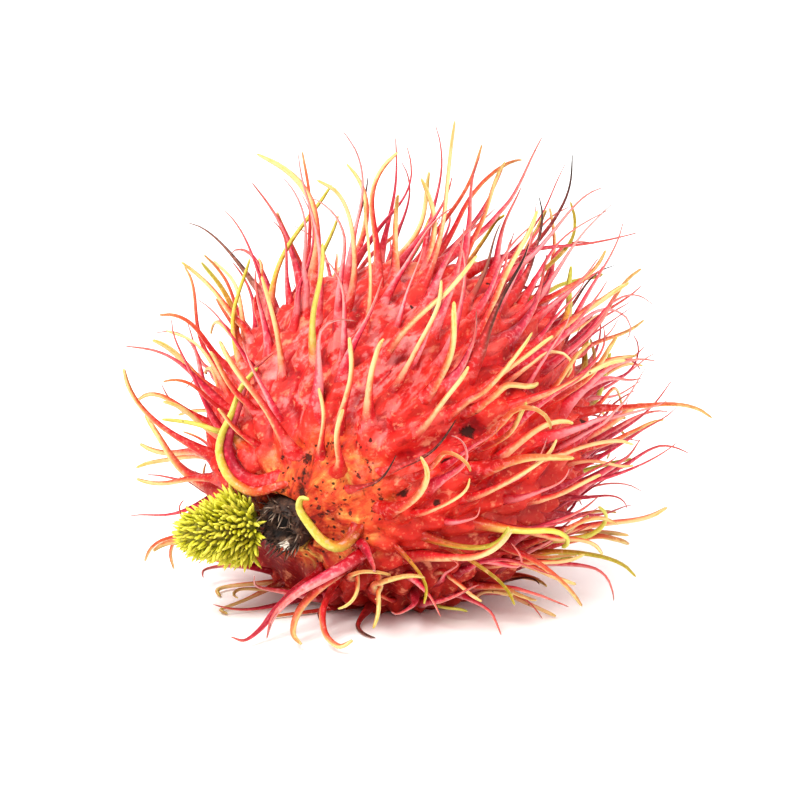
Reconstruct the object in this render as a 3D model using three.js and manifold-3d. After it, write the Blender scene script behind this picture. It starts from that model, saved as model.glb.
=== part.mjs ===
// A whole rambutan as picked, lying on its side on a small flat spot.
// Units are millimetres and +Z is up. The origin is the centre of the flat spot, -Y is the front and +X is
// the right. The stem end points forward, to the left and a little down.
//
// Three solids: the fruit with its spinterns (the soft spines), which grow out of the rind as one piece; the
// broken end of the stalk; and the undeveloped fruitlet that shares the stalk and keeps its green bristles.
import * as THREE from "three";
import { mergeVertices } from "three/addons/utils/BufferGeometryUtils.js";
import Module from "manifold-3d";

// Driving dimensions of the rind, without its spinterns.
const HALF_LENGTH = 23.2; // from the middle to the stem end
const HALF_WIDTH = 21.2; // across, level with the ground
const HALF_HEIGHT = 19.4; // across, the other way
const STEM_END_SWELL = 0.04; // the stem half is this much fatter, and the far half as much thinner
const STEM_AXIS = new THREE.Vector3(-0.573, -0.773, -0.272).normalize(); // from the middle to the stem end
const FLAT_SPOT_DEPTH = 0.6; // how much of the round underside is pressed flat
const RIND_DETAIL = 6;

// Spinterns.
const SPINTERN_COUNT = 300;
const SPINTERN_LENGTH = 16.2; // the usual length, along the curve
const SPINTERN_LENGTH_SPREAD = 0.5; // longest less shortest, as a share of the usual length
const SPINTERN_BASE_RADIUS = 1.05;
const SPINTERN_ROOT_DEPTH = 1.6; // how far its foot is sunk into the rind
const SPINTERN_SIDES = 3;
const SPINTERN_STEPS = 3;
const STALK_BARE_ANGLE = THREE.MathUtils.degToRad(21); // no spintern grows this close to the stalk
const KNEE_CLEARANCE = 0.8; // lowest height of the bend of a spintern that lies on the ground
const TIP_CLEARANCE = -0.08; // and of its tip, which the ground presses flat

// Two long spinterns beside the stalk. Each root is a direction (across, back, stem) on the rind, and the knee
// and tip of its curve are measured from there.
const STALK_SPINTERNS = [
  { root: [0.038, 0.282, 0.959], knee: [-12.3, 9.2, -3.4], tip: [-1.6, 6.0, 13.1] }, // out to the left, then up
  { root: [0.414, 0.035, 0.909], knee: [-1.9, -1.7, -5.2], tip: [-6.8, 0.1, 2.1] }, // hooks back to the stalk
];

// Stalk end and its socket in the rind.
const STALK_RADIUS = 3.2;
const STALK_HEIGHT = 2.0; // above the rind
const SOCKET_DEPTH = 1.5;
const GAP = 0.35; // between touching pieces

// Undeveloped fruitlet.
const FRUITLET_LENGTH = 9.2;
const FRUITLET_BASE_RADIUS = 3.9;
const FRUITLET_TIP_RADIUS = 1.6;
const FRUITLET_AXIS = new THREE.Vector3(-0.877, -0.48, -0.025).normalize();
const FRUITLET_OFFSET = new THREE.Vector3(-4.7, 2.9, -1.3); // of its base from the rind at the stem end
const BRISTLE_COUNT = 90;
const BRISTLE_LENGTH = 2.1;
const BRISTLE_RADIUS = 0.42;
const BRISTLE_ROOT_DEPTH = 0.5;

const GOLDEN_ANGLE = Math.PI * (3 - Math.sqrt(5));
const UP = new THREE.Vector3(0, 0, 1);

const wasm = await Module();
wasm.setup();

// The rind's own axes: stem end, across level with the ground, and across the other way.
const acrossAxis = new THREE.Vector3().crossVectors(UP, STEM_AXIS).normalize();
const backAxis = new THREE.Vector3().crossVectors(STEM_AXIS, acrossAxis);

// The middle of the rind, placed so that its lowest point is FLAT_SPOT_DEPTH under the origin.
function rindMiddle() {
  const down = [
    [STEM_AXIS, HALF_LENGTH],
    [acrossAxis, HALF_WIDTH],
    [backAxis, HALF_HEIGHT],
  ];
  const reach = Math.hypot(...down.map(([axis, half]) => axis.z * half));
  const lowest = new THREE.Vector3();
  for (const [axis, half] of down) lowest.addScaledVector(axis, (-axis.z * half * half) / reach);
  return new THREE.Vector3(-lowest.x, -lowest.y, -lowest.z - FLAT_SPOT_DEPTH);
}
const MIDDLE = rindMiddle();

// A repeatable number from 0 to 1 for spintern i, a different one for each salt.
function scatter(i, salt) {
  const x = Math.sin(i * 12.9898 + salt * 78.233) * 43758.5453;
  return x - Math.floor(x);
}

// The point and outward normal of the rind, in the direction (across, back, stem) on a unit ball.
function rindAt(across, back, stem) {
  const swell = 1 + STEM_END_SWELL * stem;
  const point = MIDDLE.clone()
    .addScaledVector(acrossAxis, across * HALF_WIDTH * swell)
    .addScaledVector(backAxis, back * HALF_HEIGHT * swell)
    .addScaledVector(STEM_AXIS, stem * HALF_LENGTH);
  const normal = new THREE.Vector3()
    .addScaledVector(acrossAxis, across / HALF_WIDTH)
    .addScaledVector(backAxis, back / HALF_HEIGHT)
    .addScaledVector(STEM_AXIS, stem / HALF_LENGTH)
    .normalize();
  return { point, normal };
}

// A closed geometry as a solid that can be joined and cut.
function solidOf(geometry) {
  const bare = geometry.clone();
  bare.deleteAttribute("normal");
  bare.deleteAttribute("uv");
  const merged = mergeVertices(bare, 1e-4);
  return new wasm.Manifold(
    new wasm.Mesh({
      numProp: 3,
      vertProperties: new Float32Array(merged.attributes.position.array),
      triVerts: new Uint32Array(merged.index.array),
    }),
  );
}

// The other way round, for display and export.
function geometryOf(solid) {
  const mesh = solid.getMesh();
  const geometry = new THREE.BufferGeometry();
  geometry.setAttribute("position", new THREE.BufferAttribute(mesh.vertProperties, 3));
  geometry.setIndex(new THREE.BufferAttribute(mesh.triVerts, 1));
  geometry.computeVertexNormals();
  return geometry;
}

// The smooth rind: a ball of triangles stretched to the rind's half sizes.
function makeRind() {
  const geometry = new THREE.IcosahedronGeometry(1, RIND_DETAIL);
  const place = geometry.attributes.position;
  for (let i = 0; i < place.count; i++) {
    const { point } = rindAt(place.getX(i), place.getY(i), place.getZ(i));
    place.setXYZ(i, point.x, point.y, point.z);
  }
  return solidOf(geometry);
}

// The curve of spintern i, or null where none grows.
// Roots follow a spiral from the stem end to the far end. Each spintern leans away from the stem end, and
// bends on from there. Those underneath lie out along the ground.
function spinternCurve(i) {
  const polar = Math.acos(1 - (2 * (i + 0.5)) / SPINTERN_COUNT) + 0.07 * (scatter(i, 1) - 0.5);
  const turn = i * GOLDEN_ANGLE + (0.09 * (scatter(i, 2) - 0.5)) / Math.max(Math.sin(polar), 0.2);
  if (polar < STALK_BARE_ANGLE) return null;
  const root = rindAt(
    Math.sin(polar) * Math.cos(turn),
    Math.sin(polar) * Math.sin(turn),
    Math.cos(polar),
  );
  if (root.point.z < FLAT_SPOT_DEPTH) return null;

  const normal = root.normal;
  const away = STEM_AXIS.clone().negate().addScaledVector(normal, STEM_AXIS.dot(normal)).normalize();
  const outward = new THREE.Vector3(root.point.x, root.point.y, 0).normalize();
  const underneath = THREE.MathUtils.smoothstep(-normal.z, 0.25, 0.8);
  away.lerp(outward, underneath).addScaledVector(normal, -away.dot(normal)).normalize();
  const side = new THREE.Vector3().crossVectors(normal, away);

  const length = SPINTERN_LENGTH * (1 + SPINTERN_LENGTH_SPREAD * (scatter(i, 3) - 0.5));
  const lean = (0.35 + 0.75 * scatter(i, 4)) * Math.sqrt(Math.max(Math.sin(polar), 0)) + 0.35 * underneath;
  const bend = lean + 1.0 * (scatter(i, 5) - 0.35);
  const heading = (angle, sideways) =>
    new THREE.Vector3()
      .addScaledVector(normal, Math.cos(angle))
      .addScaledVector(away, Math.sin(angle))
      .addScaledVector(side, sideways)
      .normalize();
  const foot = root.point.clone().addScaledVector(normal, -SPINTERN_ROOT_DEPTH);
  const knee = root.point.clone().addScaledVector(heading(lean, 0.5 * (scatter(i, 6) - 0.5)), length / 2);
  const tip = knee.clone().addScaledVector(heading(bend, 1.1 * (scatter(i, 7) - 0.5)), length / 2);
  for (const [point, clearance] of [
    [knee, KNEE_CLEARANCE],
    [tip, TIP_CLEARANCE],
  ]) {
    const sunk = Math.max(clearance - point.z, 0);
    point.addScaledVector(outward, 0.6 * sunk);
    point.z += sunk;
  }
  return new THREE.QuadraticBezierCurve3(foot, knee, tip);
}

// The curve of one of the two long spinterns beside the stalk.
function stalkSpinternCurve({ root, knee, tip }) {
  const { point, normal } = rindAt(...root);
  return new THREE.QuadraticBezierCurve3(
    point.clone().addScaledVector(normal, -SPINTERN_ROOT_DEPTH),
    new THREE.Vector3(...knee).add(point),
    new THREE.Vector3(...tip).add(point),
  );
}

// A cone bent along its curve, pointed at the tip.
function bentCone(curve, baseRadius, sides, steps) {
  const cone = new THREE.ConeGeometry(baseRadius, 1, sides, steps);
  const place = cone.attributes.position;
  const first = new THREE.Vector3().subVectors(curve.v1, curve.v0);
  const second = new THREE.Vector3().subVectors(curve.v2, curve.v1);
  const flat = new THREE.Vector3().crossVectors(first, second).normalize();
  for (let i = 0; i < place.count; i++) {
    const along = place.getY(i) + 0.5;
    const tangent = curve.getTangent(along);
    const rise = new THREE.Vector3().crossVectors(flat, tangent);
    const point = curve
      .getPoint(along)
      .addScaledVector(rise, place.getX(i))
      .addScaledVector(flat, place.getZ(i));
    place.setXYZ(i, point.x, point.y, point.z);
  }
  const solid = solidOf(cone);
  if (solid.volume() > 0) return solid;
  const reversed = Array.from(cone.index.array);
  for (let i = 0; i < reversed.length; i += 3) [reversed[i], reversed[i + 1]] = [reversed[i + 1], reversed[i]];
  return solidOf(cone.setIndex(reversed));
}

// A lathe turned about its own Y, stood along an axis with its foot at a point.
function turned(profile, segments, foot, axis) {
  const geometry = new THREE.LatheGeometry(
    profile.map(([radius, height]) => new THREE.Vector2(radius, height)),
    segments,
  );
  geometry.applyQuaternion(new THREE.Quaternion().setFromUnitVectors(new THREE.Vector3(0, 1, 0), axis));
  geometry.translate(foot.x, foot.y, foot.z);
  return solidOf(geometry);
}

const stemEnd = rindAt(0, 0, 1).point;
const fruitletFoot = stemEnd.clone().add(FRUITLET_OFFSET);

// How far a point is from the fruitlet's middle line.
function distanceToFruitlet(point) {
  const line = new THREE.Line3(fruitletFoot, fruitletFoot.clone().addScaledVector(FRUITLET_AXIS, FRUITLET_LENGTH));
  return line.closestPointToPoint(point, true, new THREE.Vector3()).distanceTo(point);
}

// The fruit: rind and spinterns joined, pressed flat underneath, with a shallow socket for the stalk.
function makeFruit() {
  const room = FRUITLET_BASE_RADIUS + BRISTLE_LENGTH + SPINTERN_BASE_RADIUS + GAP;
  const curves = STALK_SPINTERNS.map(stalkSpinternCurve);
  for (let i = 0; i < SPINTERN_COUNT; i++) {
    const curve = spinternCurve(i);
    if (curve && curve.getPoints(6).every((point) => distanceToFruitlet(point) > room)) curves.push(curve);
  }
  const solids = [makeRind()];
  for (const curve of curves) {
    solids.push(bentCone(curve, SPINTERN_BASE_RADIUS, SPINTERN_SIDES, SPINTERN_STEPS));
  }
  const ground = new THREE.BoxGeometry(200, 200, 40).translate(0, 0, -20);
  const socket = [
    [0, -SOCKET_DEPTH],
    [STALK_RADIUS + GAP, -SOCKET_DEPTH],
    [STALK_RADIUS + GAP, STALK_HEIGHT],
    [0, STALK_HEIGHT],
  ];
  return wasm.Manifold.union(solids)
    .subtract(solidOf(ground))
    .subtract(turned(socket, 20, stemEnd, STEM_AXIS));
}

// The broken end of the stalk: a low ring of dried tissue with a hollow middle.
function makeStalkEnd() {
  const profile = [
    [0, -SOCKET_DEPTH + GAP],
    [0.95 * STALK_RADIUS, -SOCKET_DEPTH + GAP],
    [STALK_RADIUS, 0.2],
    [0.97 * STALK_RADIUS, 0.75 * STALK_HEIGHT],
    [0.78 * STALK_RADIUS, STALK_HEIGHT],
    [0.52 * STALK_RADIUS, 0.8 * STALK_HEIGHT],
    [0.38 * STALK_RADIUS, 0.1],
    [0, -0.2],
  ];
  return turned(profile, 18, stemEnd, STEM_AXIS);
}

// Radius of the fruitlet's body at a share of its length: blunt at the foot, narrower at the tip.
function fruitletRadius(share) {
  const taper = THREE.MathUtils.lerp(FRUITLET_BASE_RADIUS, FRUITLET_TIP_RADIUS, share);
  const foot = Math.sqrt(1 - Math.pow(1 - Math.min(share / 0.18, 1), 2) * 0.45);
  const end = Math.sqrt(Math.max(1 - Math.pow(Math.max(share - 0.72, 0) / 0.28, 2), 0));
  return taper * foot * end;
}

// The undeveloped fruitlet: a short blunt body covered with bristles that lean to its tip.
function makeFruitlet() {
  const steps = 9;
  const profile = [[0, 0]];
  for (let i = 0; i < steps; i++) profile.push([fruitletRadius(i / steps), (i / steps) * FRUITLET_LENGTH]);
  profile.push([0, FRUITLET_LENGTH]);
  const solids = [turned(profile, 14, fruitletFoot, FRUITLET_AXIS)];

  const across = new THREE.Vector3().crossVectors(UP, FRUITLET_AXIS).normalize();
  const other = new THREE.Vector3().crossVectors(FRUITLET_AXIS, across);
  for (let i = 0; i < BRISTLE_COUNT; i++) {
    const share = 0.06 + (0.92 * (i + 0.5)) / BRISTLE_COUNT;
    const turn = i * GOLDEN_ANGLE;
    const outward = new THREE.Vector3()
      .addScaledVector(across, Math.cos(turn))
      .addScaledVector(other, Math.sin(turn));
    const lean = THREE.MathUtils.lerp(0.25, 1.25, share) + 0.3 * (scatter(i, 8) - 0.5);
    const heading = outward
      .clone()
      .multiplyScalar(Math.cos(lean))
      .addScaledVector(FRUITLET_AXIS, Math.sin(lean));
    const skin = fruitletFoot
      .clone()
      .addScaledVector(FRUITLET_AXIS, share * FRUITLET_LENGTH)
      .addScaledVector(outward, fruitletRadius(share));
    const foot = skin.clone().addScaledVector(heading, -BRISTLE_ROOT_DEPTH);
    const knee = skin.clone().addScaledVector(heading, BRISTLE_LENGTH / 2);
    const tip = skin
      .clone()
      .addScaledVector(heading, BRISTLE_LENGTH)
      .addScaledVector(FRUITLET_AXIS, 0.3);
    solids.push(bentCone(new THREE.QuadraticBezierCurve3(foot, knee, tip), BRISTLE_RADIUS, 3, 1));
  }
  return wasm.Manifold.union(solids);
}

// A named mesh with its own colour.
function piece(name, solid, colour, roughness) {
  const material = new THREE.MeshStandardMaterial({ color: colour, roughness, metalness: 0 });
  const mesh = new THREE.Mesh(geometryOf(solid), material);
  mesh.name = name;
  return mesh;
}

const rambutan = new THREE.Group();
rambutan.name = "rambutan";
rambutan.add(
  piece("fruit", makeFruit(), 0xd6362c, 0.45),
  piece("stalk_end", makeStalkEnd(), 0x33241c, 0.85),
  piece("undeveloped_fruitlet", makeFruitlet(), 0xa9a22c, 0.6),
);

export default rambutan;
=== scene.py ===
"""A whole ripe rambutan lying on its side: red rind, long soft spinterns, stalk end and undeveloped fruitlet.

Lengths are in metres and +Z is up. The origin is the centre of the flat spot that the fruit lies on, -Y
is the front, and the stem end points forward, to the left and a little down. Every piece replaces the plain
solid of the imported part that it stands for.
"""

from __future__ import annotations

import logging
import math
from dataclasses import dataclass, field
from enum import Enum, IntEnum
from functools import cached_property

import bmesh
import bpy
import numpy as np
from mathutils import Matrix, Vector
from mathutils.kdtree import KDTree

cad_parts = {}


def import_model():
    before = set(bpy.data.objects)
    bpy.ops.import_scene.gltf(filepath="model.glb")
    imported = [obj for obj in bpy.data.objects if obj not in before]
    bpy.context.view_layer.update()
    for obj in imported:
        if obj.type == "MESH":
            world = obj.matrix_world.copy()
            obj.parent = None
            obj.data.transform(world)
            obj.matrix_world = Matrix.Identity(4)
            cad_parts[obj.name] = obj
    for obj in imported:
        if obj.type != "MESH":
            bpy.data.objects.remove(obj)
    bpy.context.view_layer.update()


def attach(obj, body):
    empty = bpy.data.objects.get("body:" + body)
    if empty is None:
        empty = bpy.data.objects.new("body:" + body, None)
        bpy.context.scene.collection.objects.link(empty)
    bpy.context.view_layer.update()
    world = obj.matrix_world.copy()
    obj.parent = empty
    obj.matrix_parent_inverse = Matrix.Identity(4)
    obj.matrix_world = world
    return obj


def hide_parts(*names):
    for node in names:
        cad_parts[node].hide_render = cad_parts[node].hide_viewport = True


LOG = logging.getLogger("rambutan")
MM = 0.001
FULL_TURN = 2 * math.pi
GOLDEN_ANGLE = math.pi * (3 - math.sqrt(5))
SCATTER_STEP = 12.9898
SCATTER_DRAW_STEP = 78.233
SCATTER_REACH = 43758.5453
LEAST_LENGTH = 1e-12
SAME_PLACE = 1e-9
GROUND_SOFTNESS = 0.25 * MM
FOOT_POINTS = 2

Colour = tuple[float, float, float]
Point = tuple[float, float, float]
Ramp = tuple[tuple[float, Colour], ...]
Socket = bpy.types.NodeSocket


# ---- Small sums ----


class Draw(IntEnum):
    """What is drawn for each spintern, by the number that the draw is made with."""

    POLAR = 1
    TURN = 2
    LENGTH = 3
    LEAN = 4
    BEND = 5
    YAW = 6
    FAR_YAW = 7
    KIND = 9
    GIRTH = 10
    CURL = 11
    CURL_SIDE = 12
    CURL_REACH = 13
    TILT_WAVE = 14
    VEER_WAVE = 15
    TONE = 16
    BLADE = 17
    STRETCH = 18


def scatter(index: int, draw: Draw) -> float:
    """Return a repeatable number from 0 to 1, the same as the solid part's own.

    Args:
        index: Which spintern it is for.
        draw: Which of the spintern's choices it is for.

    Returns:
        A number from 0 up to 1.
    """
    value = math.sin(index * SCATTER_STEP + draw * SCATTER_DRAW_STEP) * SCATTER_REACH
    return value - math.floor(value)


def sway(index: int, draw: Draw, spread: float = 1.0) -> float:
    """Return a repeatable number from a range of the given width with 0 in its middle."""
    return spread * (scatter(index, draw) - 0.5)


def unit(vector: np.ndarray) -> np.ndarray:
    """Return vectors, one or a row of them each, at length 1."""
    return vector / np.maximum(np.linalg.norm(vector, axis=-1, keepdims=True), LEAST_LENGTH)


def smooth(value: np.ndarray | float, low: float, high: float) -> np.ndarray:
    """Return 0 below low, 1 above high and a smooth rise between them."""
    share = np.clip((np.asarray(value, float) - low) / (high - low), 0, 1)
    return share * share * (3 - 2 * share)


@dataclass(frozen=True)
class Rise:
    """An amount that comes in smoothly while a measure passes from low to high."""

    amount: float
    low: float
    high: float

    def at(self, value: float) -> float:
        """Return how much of the amount there is at a value."""
        return self.amount * float(smooth(value, self.low, self.high))


# ---- The form that everything grows on ----


@dataclass(frozen=True)
class RindForm:
    """The egg shape of the rind, without its spinterns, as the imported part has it."""

    half_length: float = 23.2 * MM
    half_width: float = 21.2 * MM
    half_height: float = 19.4 * MM
    stem_end_swell: float = 0.04
    flat_spot_depth: float = 0.6 * MM
    stem_direction: Point = (-0.573, -0.773, -0.272)

    @cached_property
    def axes(self) -> np.ndarray:
        """The rows are the unit directions across, back and stem."""
        stem = unit(np.array(self.stem_direction))
        across = unit(np.cross((0, 0, 1), stem))
        return np.array([across, np.cross(stem, across), stem])

    @cached_property
    def halves(self) -> np.ndarray:
        """The half sizes along the three axes."""
        return np.array([self.half_width, self.half_height, self.half_length])

    @cached_property
    def middle(self) -> np.ndarray:
        """The middle, which puts the lowest point just under the ground."""
        heights = self.axes[:, 2]
        reach = np.linalg.norm(heights * self.halves)
        lowest = -(self.axes.T @ (heights * self.halves**2)) / reach
        return np.array([-lowest[0], -lowest[1], -lowest[2] - self.flat_spot_depth])

    @property
    def stem_end(self) -> np.ndarray:
        """The point of the rind at the stem end."""
        return self.middle + self.axes[2] * self.half_length

    def at(self, direction: np.ndarray) -> tuple[np.ndarray, np.ndarray]:
        """Find where a direction meets the rind.

        Args:
            direction: Unit direction, or rows of them, along across, back and stem.

        Returns:
            The point and the outward normal, or rows of them.
        """
        direction = np.asarray(direction, float)
        swell = 1 + self.stem_end_swell * direction[..., 2:]
        scale = self.halves * np.concatenate([swell, swell, np.ones_like(swell)], axis=-1)
        point = self.middle + (direction * scale) @ self.axes
        normal = unit((direction / self.halves) @ self.axes)
        return point, normal

    def local(self, points: np.ndarray) -> np.ndarray:
        """Return points in the ball that the rind is stretched from, where the skin has length 1."""
        along = (points - self.middle) @ self.axes.T / self.halves
        swell = 1 + self.stem_end_swell * np.clip(along[..., 2:], -1, 1)
        return np.concatenate([along[..., :2] / swell, along[..., 2:]], axis=-1)

    def push_out(self, points: np.ndarray, clearance: np.ndarray) -> np.ndarray:
        """Move points that are too close to the rind, or in it, out along its normal.

        Args:
            points: Rows of points.
            clearance: How far each has to be from the smooth rind.

        Returns:
            The moved points.
        """
        ball = self.local(points)
        reach = np.linalg.norm(ball, axis=-1, keepdims=True)
        skin, normal = self.at(ball / reach)
        height = ((points - skin) * normal).sum(-1)
        lack = np.maximum(clearance - height, 0)
        return points + normal * lack[..., None]


FORM = RindForm()
STEM: Point = tuple(FORM.axes[2].tolist())


# ---- Node trees ----


class Graph:
    """A node tree being wired up, with a short call for each kind of node that is used."""

    def __init__(self, tree: bpy.types.NodeTree) -> None:
        """Start on an empty tree."""
        self.tree = tree

    def feed(self, socket: Socket, value: object) -> None:
        """Link a socket to an output, or set its value.

        Args:
            socket: The input to fill.
            value: An output socket, or what the input is set to.
        """
        if isinstance(value, Socket):
            self.tree.links.new(value, socket)
        elif socket.type == "RGBA" and len(value) == 3:
            socket.default_value = (*value, 1)
        else:
            socket.default_value = value

    def add(self, kind: str, inputs: dict | None = None, **settings: object) -> bpy.types.Node:
        """Add a node.

        Args:
            kind: The node's type.
            inputs: What its inputs take, by name or by place.
            **settings: Its other options.

        Returns:
            The node.
        """
        node = self.tree.nodes.new(kind)
        for name, value in settings.items():
            setattr(node, name, value)
        for key, value in (inputs or {}).items():
            self.feed(node.inputs[key], value)
        return node

    def out(self, kind: str, inputs: dict | None = None, **settings: object) -> Socket:
        """Add a node in the same way, and return its first output."""
        return self.add(kind, inputs, **settings).outputs[0]

    def math(self, operation: str, *values: object, clamp: bool = False) -> Socket:
        """Do a sum on numbers, and return the result's socket."""
        return self.out("ShaderNodeMath", dict(enumerate(values)), operation=operation, use_clamp=clamp)

    def times(self, first: object, second: object) -> Socket:
        """Multiply two numbers."""
        return self.math("MULTIPLY", first, second)

    def raised(self, start: object, value: object, factor: object) -> Socket:
        """Add a value, times a factor, to a start."""
        return self.math("MULTIPLY_ADD", value, factor, start)

    def most(self, first: Socket, *others: Socket) -> Socket:
        """Return the greatest of some numbers."""
        for other in others:
            first = self.math("MAXIMUM", first, other)
        return first

    def vector(self, operation: str, *values: object, scale: object = None) -> Socket:
        """Do a sum on vectors, and return the socket of the resulting vector or number."""
        inputs = dict(enumerate(values))
        if scale is not None:
            inputs["Scale"] = scale
        node = self.add("ShaderNodeVectorMath", inputs, operation=operation)
        return node.outputs["Value" if operation in ("DISTANCE", "LENGTH", "DOT_PRODUCT") else "Vector"]

    def xyz(self, x: object = 0.0, y: object = 0.0, z: object = 0.0) -> Socket:
        """Put three numbers together as a vector."""
        return self.out("ShaderNodeCombineXYZ", {0: x, 1: y, 2: z})

    def split(self, vector: Socket) -> list[Socket]:
        """Take a vector apart into its three numbers."""
        return list(self.add("ShaderNodeSeparateXYZ", {0: vector}).outputs)

    def about(self, place: Socket, foot: object, axis: object) -> tuple[Socket, Socket]:
        """Measure a place from an axis.

        Args:
            place: The place.
            foot: Where the axis starts.
            axis: The axis's unit direction.

        Returns:
            How far up the axis the place is, and the vector from the axis to it.
        """
        out = self.vector("SUBTRACT", place, foot)
        rise = self.vector("DOT_PRODUCT", out, axis)
        return rise, self.vector("SUBTRACT", out, self.vector("SCALE", axis, scale=rise))

    def drawn_out(self, place: Socket, axis: object, squeeze: float) -> Socket:
        """Return a place squeezed along an axis, so that noise read there is drawn out along it."""
        along = self.times(self.vector("DOT_PRODUCT", place, axis), -squeeze)
        return self.vector("ADD", place, self.vector("SCALE", axis, scale=along))

    def remap(
        self, value: object, low: float, high: float, to_low: object = 0.0, to_high: object = 1.0
    ) -> Socket:
        """Map a range smoothly onto another, held at both ends.

        Args:
            value: The number to map.
            low: Where the range starts.
            high: Where it ends.
            to_low: What low becomes.
            to_high: What high becomes.

        Returns:
            The mapped number's socket.
        """
        (first, first_to), (last, last_to) = sorted(((low, to_low), (high, to_high)), key=lambda end: end[0])
        inputs = {"Value": value, "From Min": first, "From Max": last, "To Min": first_to, "To Max": last_to}
        return self.out("ShaderNodeMapRange", inputs, interpolation_type="SMOOTHSTEP")

    def noise(
        self, place: object, scale: float, detail: float = 3.0, roughness: float = 0.55, swirl: float = 0.0
    ) -> Socket:
        """Add cloudy noise.

        Args:
            place: Where it is read.
            scale: Clouds to a metre.
            detail: How many finer layers it has.
            roughness: How strong the finer layers are.
            swirl: How much it swirls.

        Returns:
            The socket of its strength, about 0.5 on average.
        """
        inputs = {"Vector": place, "Scale": scale, "Detail": detail, "Roughness": roughness}
        return self.out("ShaderNodeTexNoise", {**inputs, "Distortion": swirl})


@dataclass(frozen=True)
class Coat:
    """A colour laid over another while a pattern passes from one value to another."""

    colour: Colour | Socket
    start: float
    full: float
    most: float = 1.0


@dataclass(frozen=True)
class Specks:
    """Small roundish specks.

    Places is how many there is room for to a metre, radius is a speck's own as a share of its place, and
    share is the share of the places that hold one.
    """

    places: float
    radius: float
    share: float


class ShaderGraph(Graph):
    """A material's nodes."""

    def __init__(self, name: str) -> None:
        """Start a material with its surface shader."""
        self.material = bpy.data.materials.new(name)
        self.material.use_nodes = True
        super().__init__(self.material.node_tree)
        self.surface = self.tree.nodes["Principled BSDF"]
        self.place = self.add("ShaderNodeTexCoord").outputs["Object"]

    def attribute(self, name: str) -> Socket:
        """Read a number that the mesh carries."""
        return self.add("ShaderNodeAttribute", attribute_name=name).outputs["Fac"]

    def wander(self, scale: float) -> Socket:
        """Add noise with a direction."""
        return self.add("ShaderNodeTexNoise", {"Vector": self.place, "Scale": scale}).outputs["Color"]

    def blend(self, share: object, first: object, second: object, mode: str = "MIX") -> Socket:
        """Blend two colours.

        Args:
            share: How much of the second there is.
            first: The first colour.
            second: The second colour.
            mode: How they blend.

        Returns:
            The blended colour's socket.
        """
        node = self.add("ShaderNodeMix", data_type="RGBA", blend_type=mode, clamp_factor=True)
        for place, value in ((0, share), (6, first), (7, second)):
            self.feed(node.inputs[place], value)
        return node.outputs[2]

    def coat(self, under: object, pattern: object, coat: Coat, *also: object, mode: str = "MIX") -> Socket:
        """Lay a coat over a colour.

        Args:
            under: The colour underneath.
            pattern: The number that says where the coat lies.
            coat: The coat.
            *also: Shares that thin it out further.
            mode: How it blends.

        Returns:
            The coated colour's socket.
        """
        share = self.remap(pattern, coat.start, coat.full, 0.0, coat.most)
        for thinner in also:
            share = self.times(share, thinner)
        return self.blend(share, under, coat.colour, mode)

    def ramp(self, share: object, stops: Ramp) -> Socket:
        """Turn a number into a colour.

        Args:
            share: The number, from 0 to 1.
            stops: Each place on the ramp with its colour.

        Returns:
            The colour's socket.
        """
        node = self.add("ShaderNodeValToRGB", {0: share})
        elements = node.color_ramp.elements
        while len(elements) < len(stops):
            elements.new(0.5)
        for element, (position, colour) in zip(elements, stops):
            element.position = position
            element.color = (*colour, 1)
        return node.outputs[0]

    def specks(self, specks: Specks) -> Socket:
        """Scatter specks, and return the socket of 1 in a speck and 0 outside it."""
        aside = self.vector("SUBTRACT", self.wander(2.5 * specks.places), (0.5, 0.5, 0.5))
        shift = self.vector("SCALE", aside, scale=0.5 / specks.places)
        place = self.vector("ADD", self.place, shift)
        cell = self.add("ShaderNodeTexVoronoi", {"Vector": place, "Scale": specks.places}).outputs
        dot = self.remap(cell["Distance"], specks.radius, specks.radius * 0.6)
        chance = self.vector("DOT_PRODUCT", cell["Color"], (1, 0, 0))
        return self.times(dot, self.math("LESS_THAN", chance, specks.share))

    def spot(self, centre: Point, radius: float) -> Socket:
        """Mark one ragged spot.

        Args:
            centre: The spot's centre.
            radius: Its radius.

        Returns:
            The socket of 1 in the spot and 0 outside it.
        """
        ragged, outer, inner = 1.1, 1.15, 0.75
        away = self.vector("DISTANCE", self.place, centre)
        edge = self.noise(self.place, scale=1.6 / radius, detail=4, roughness=0.65, swirl=0.8)
        wander = self.raised(away, edge, 2 * ragged * radius)
        return self.remap(wander, radius * (outer + ragged), radius * (inner + ragged))

    def bump(self, height: object, distance: float, strength: float = 1.0) -> None:
        """Roughen the surface with a height, in metres at full strength."""
        inputs = {"Strength": strength, "Distance": distance, "Height": height}
        self.feed(self.surface.inputs["Normal"], self.out("ShaderNodeBump", inputs))

    def dress(self, **inputs: object) -> bpy.types.Material:
        """Fill the surface shader's inputs, named with underscores, and return the material."""
        for name, value in inputs.items():
            self.feed(self.surface.inputs[name.replace("_", " ").title().replace("Ior", "IOR")], value)
        return self.material


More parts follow.
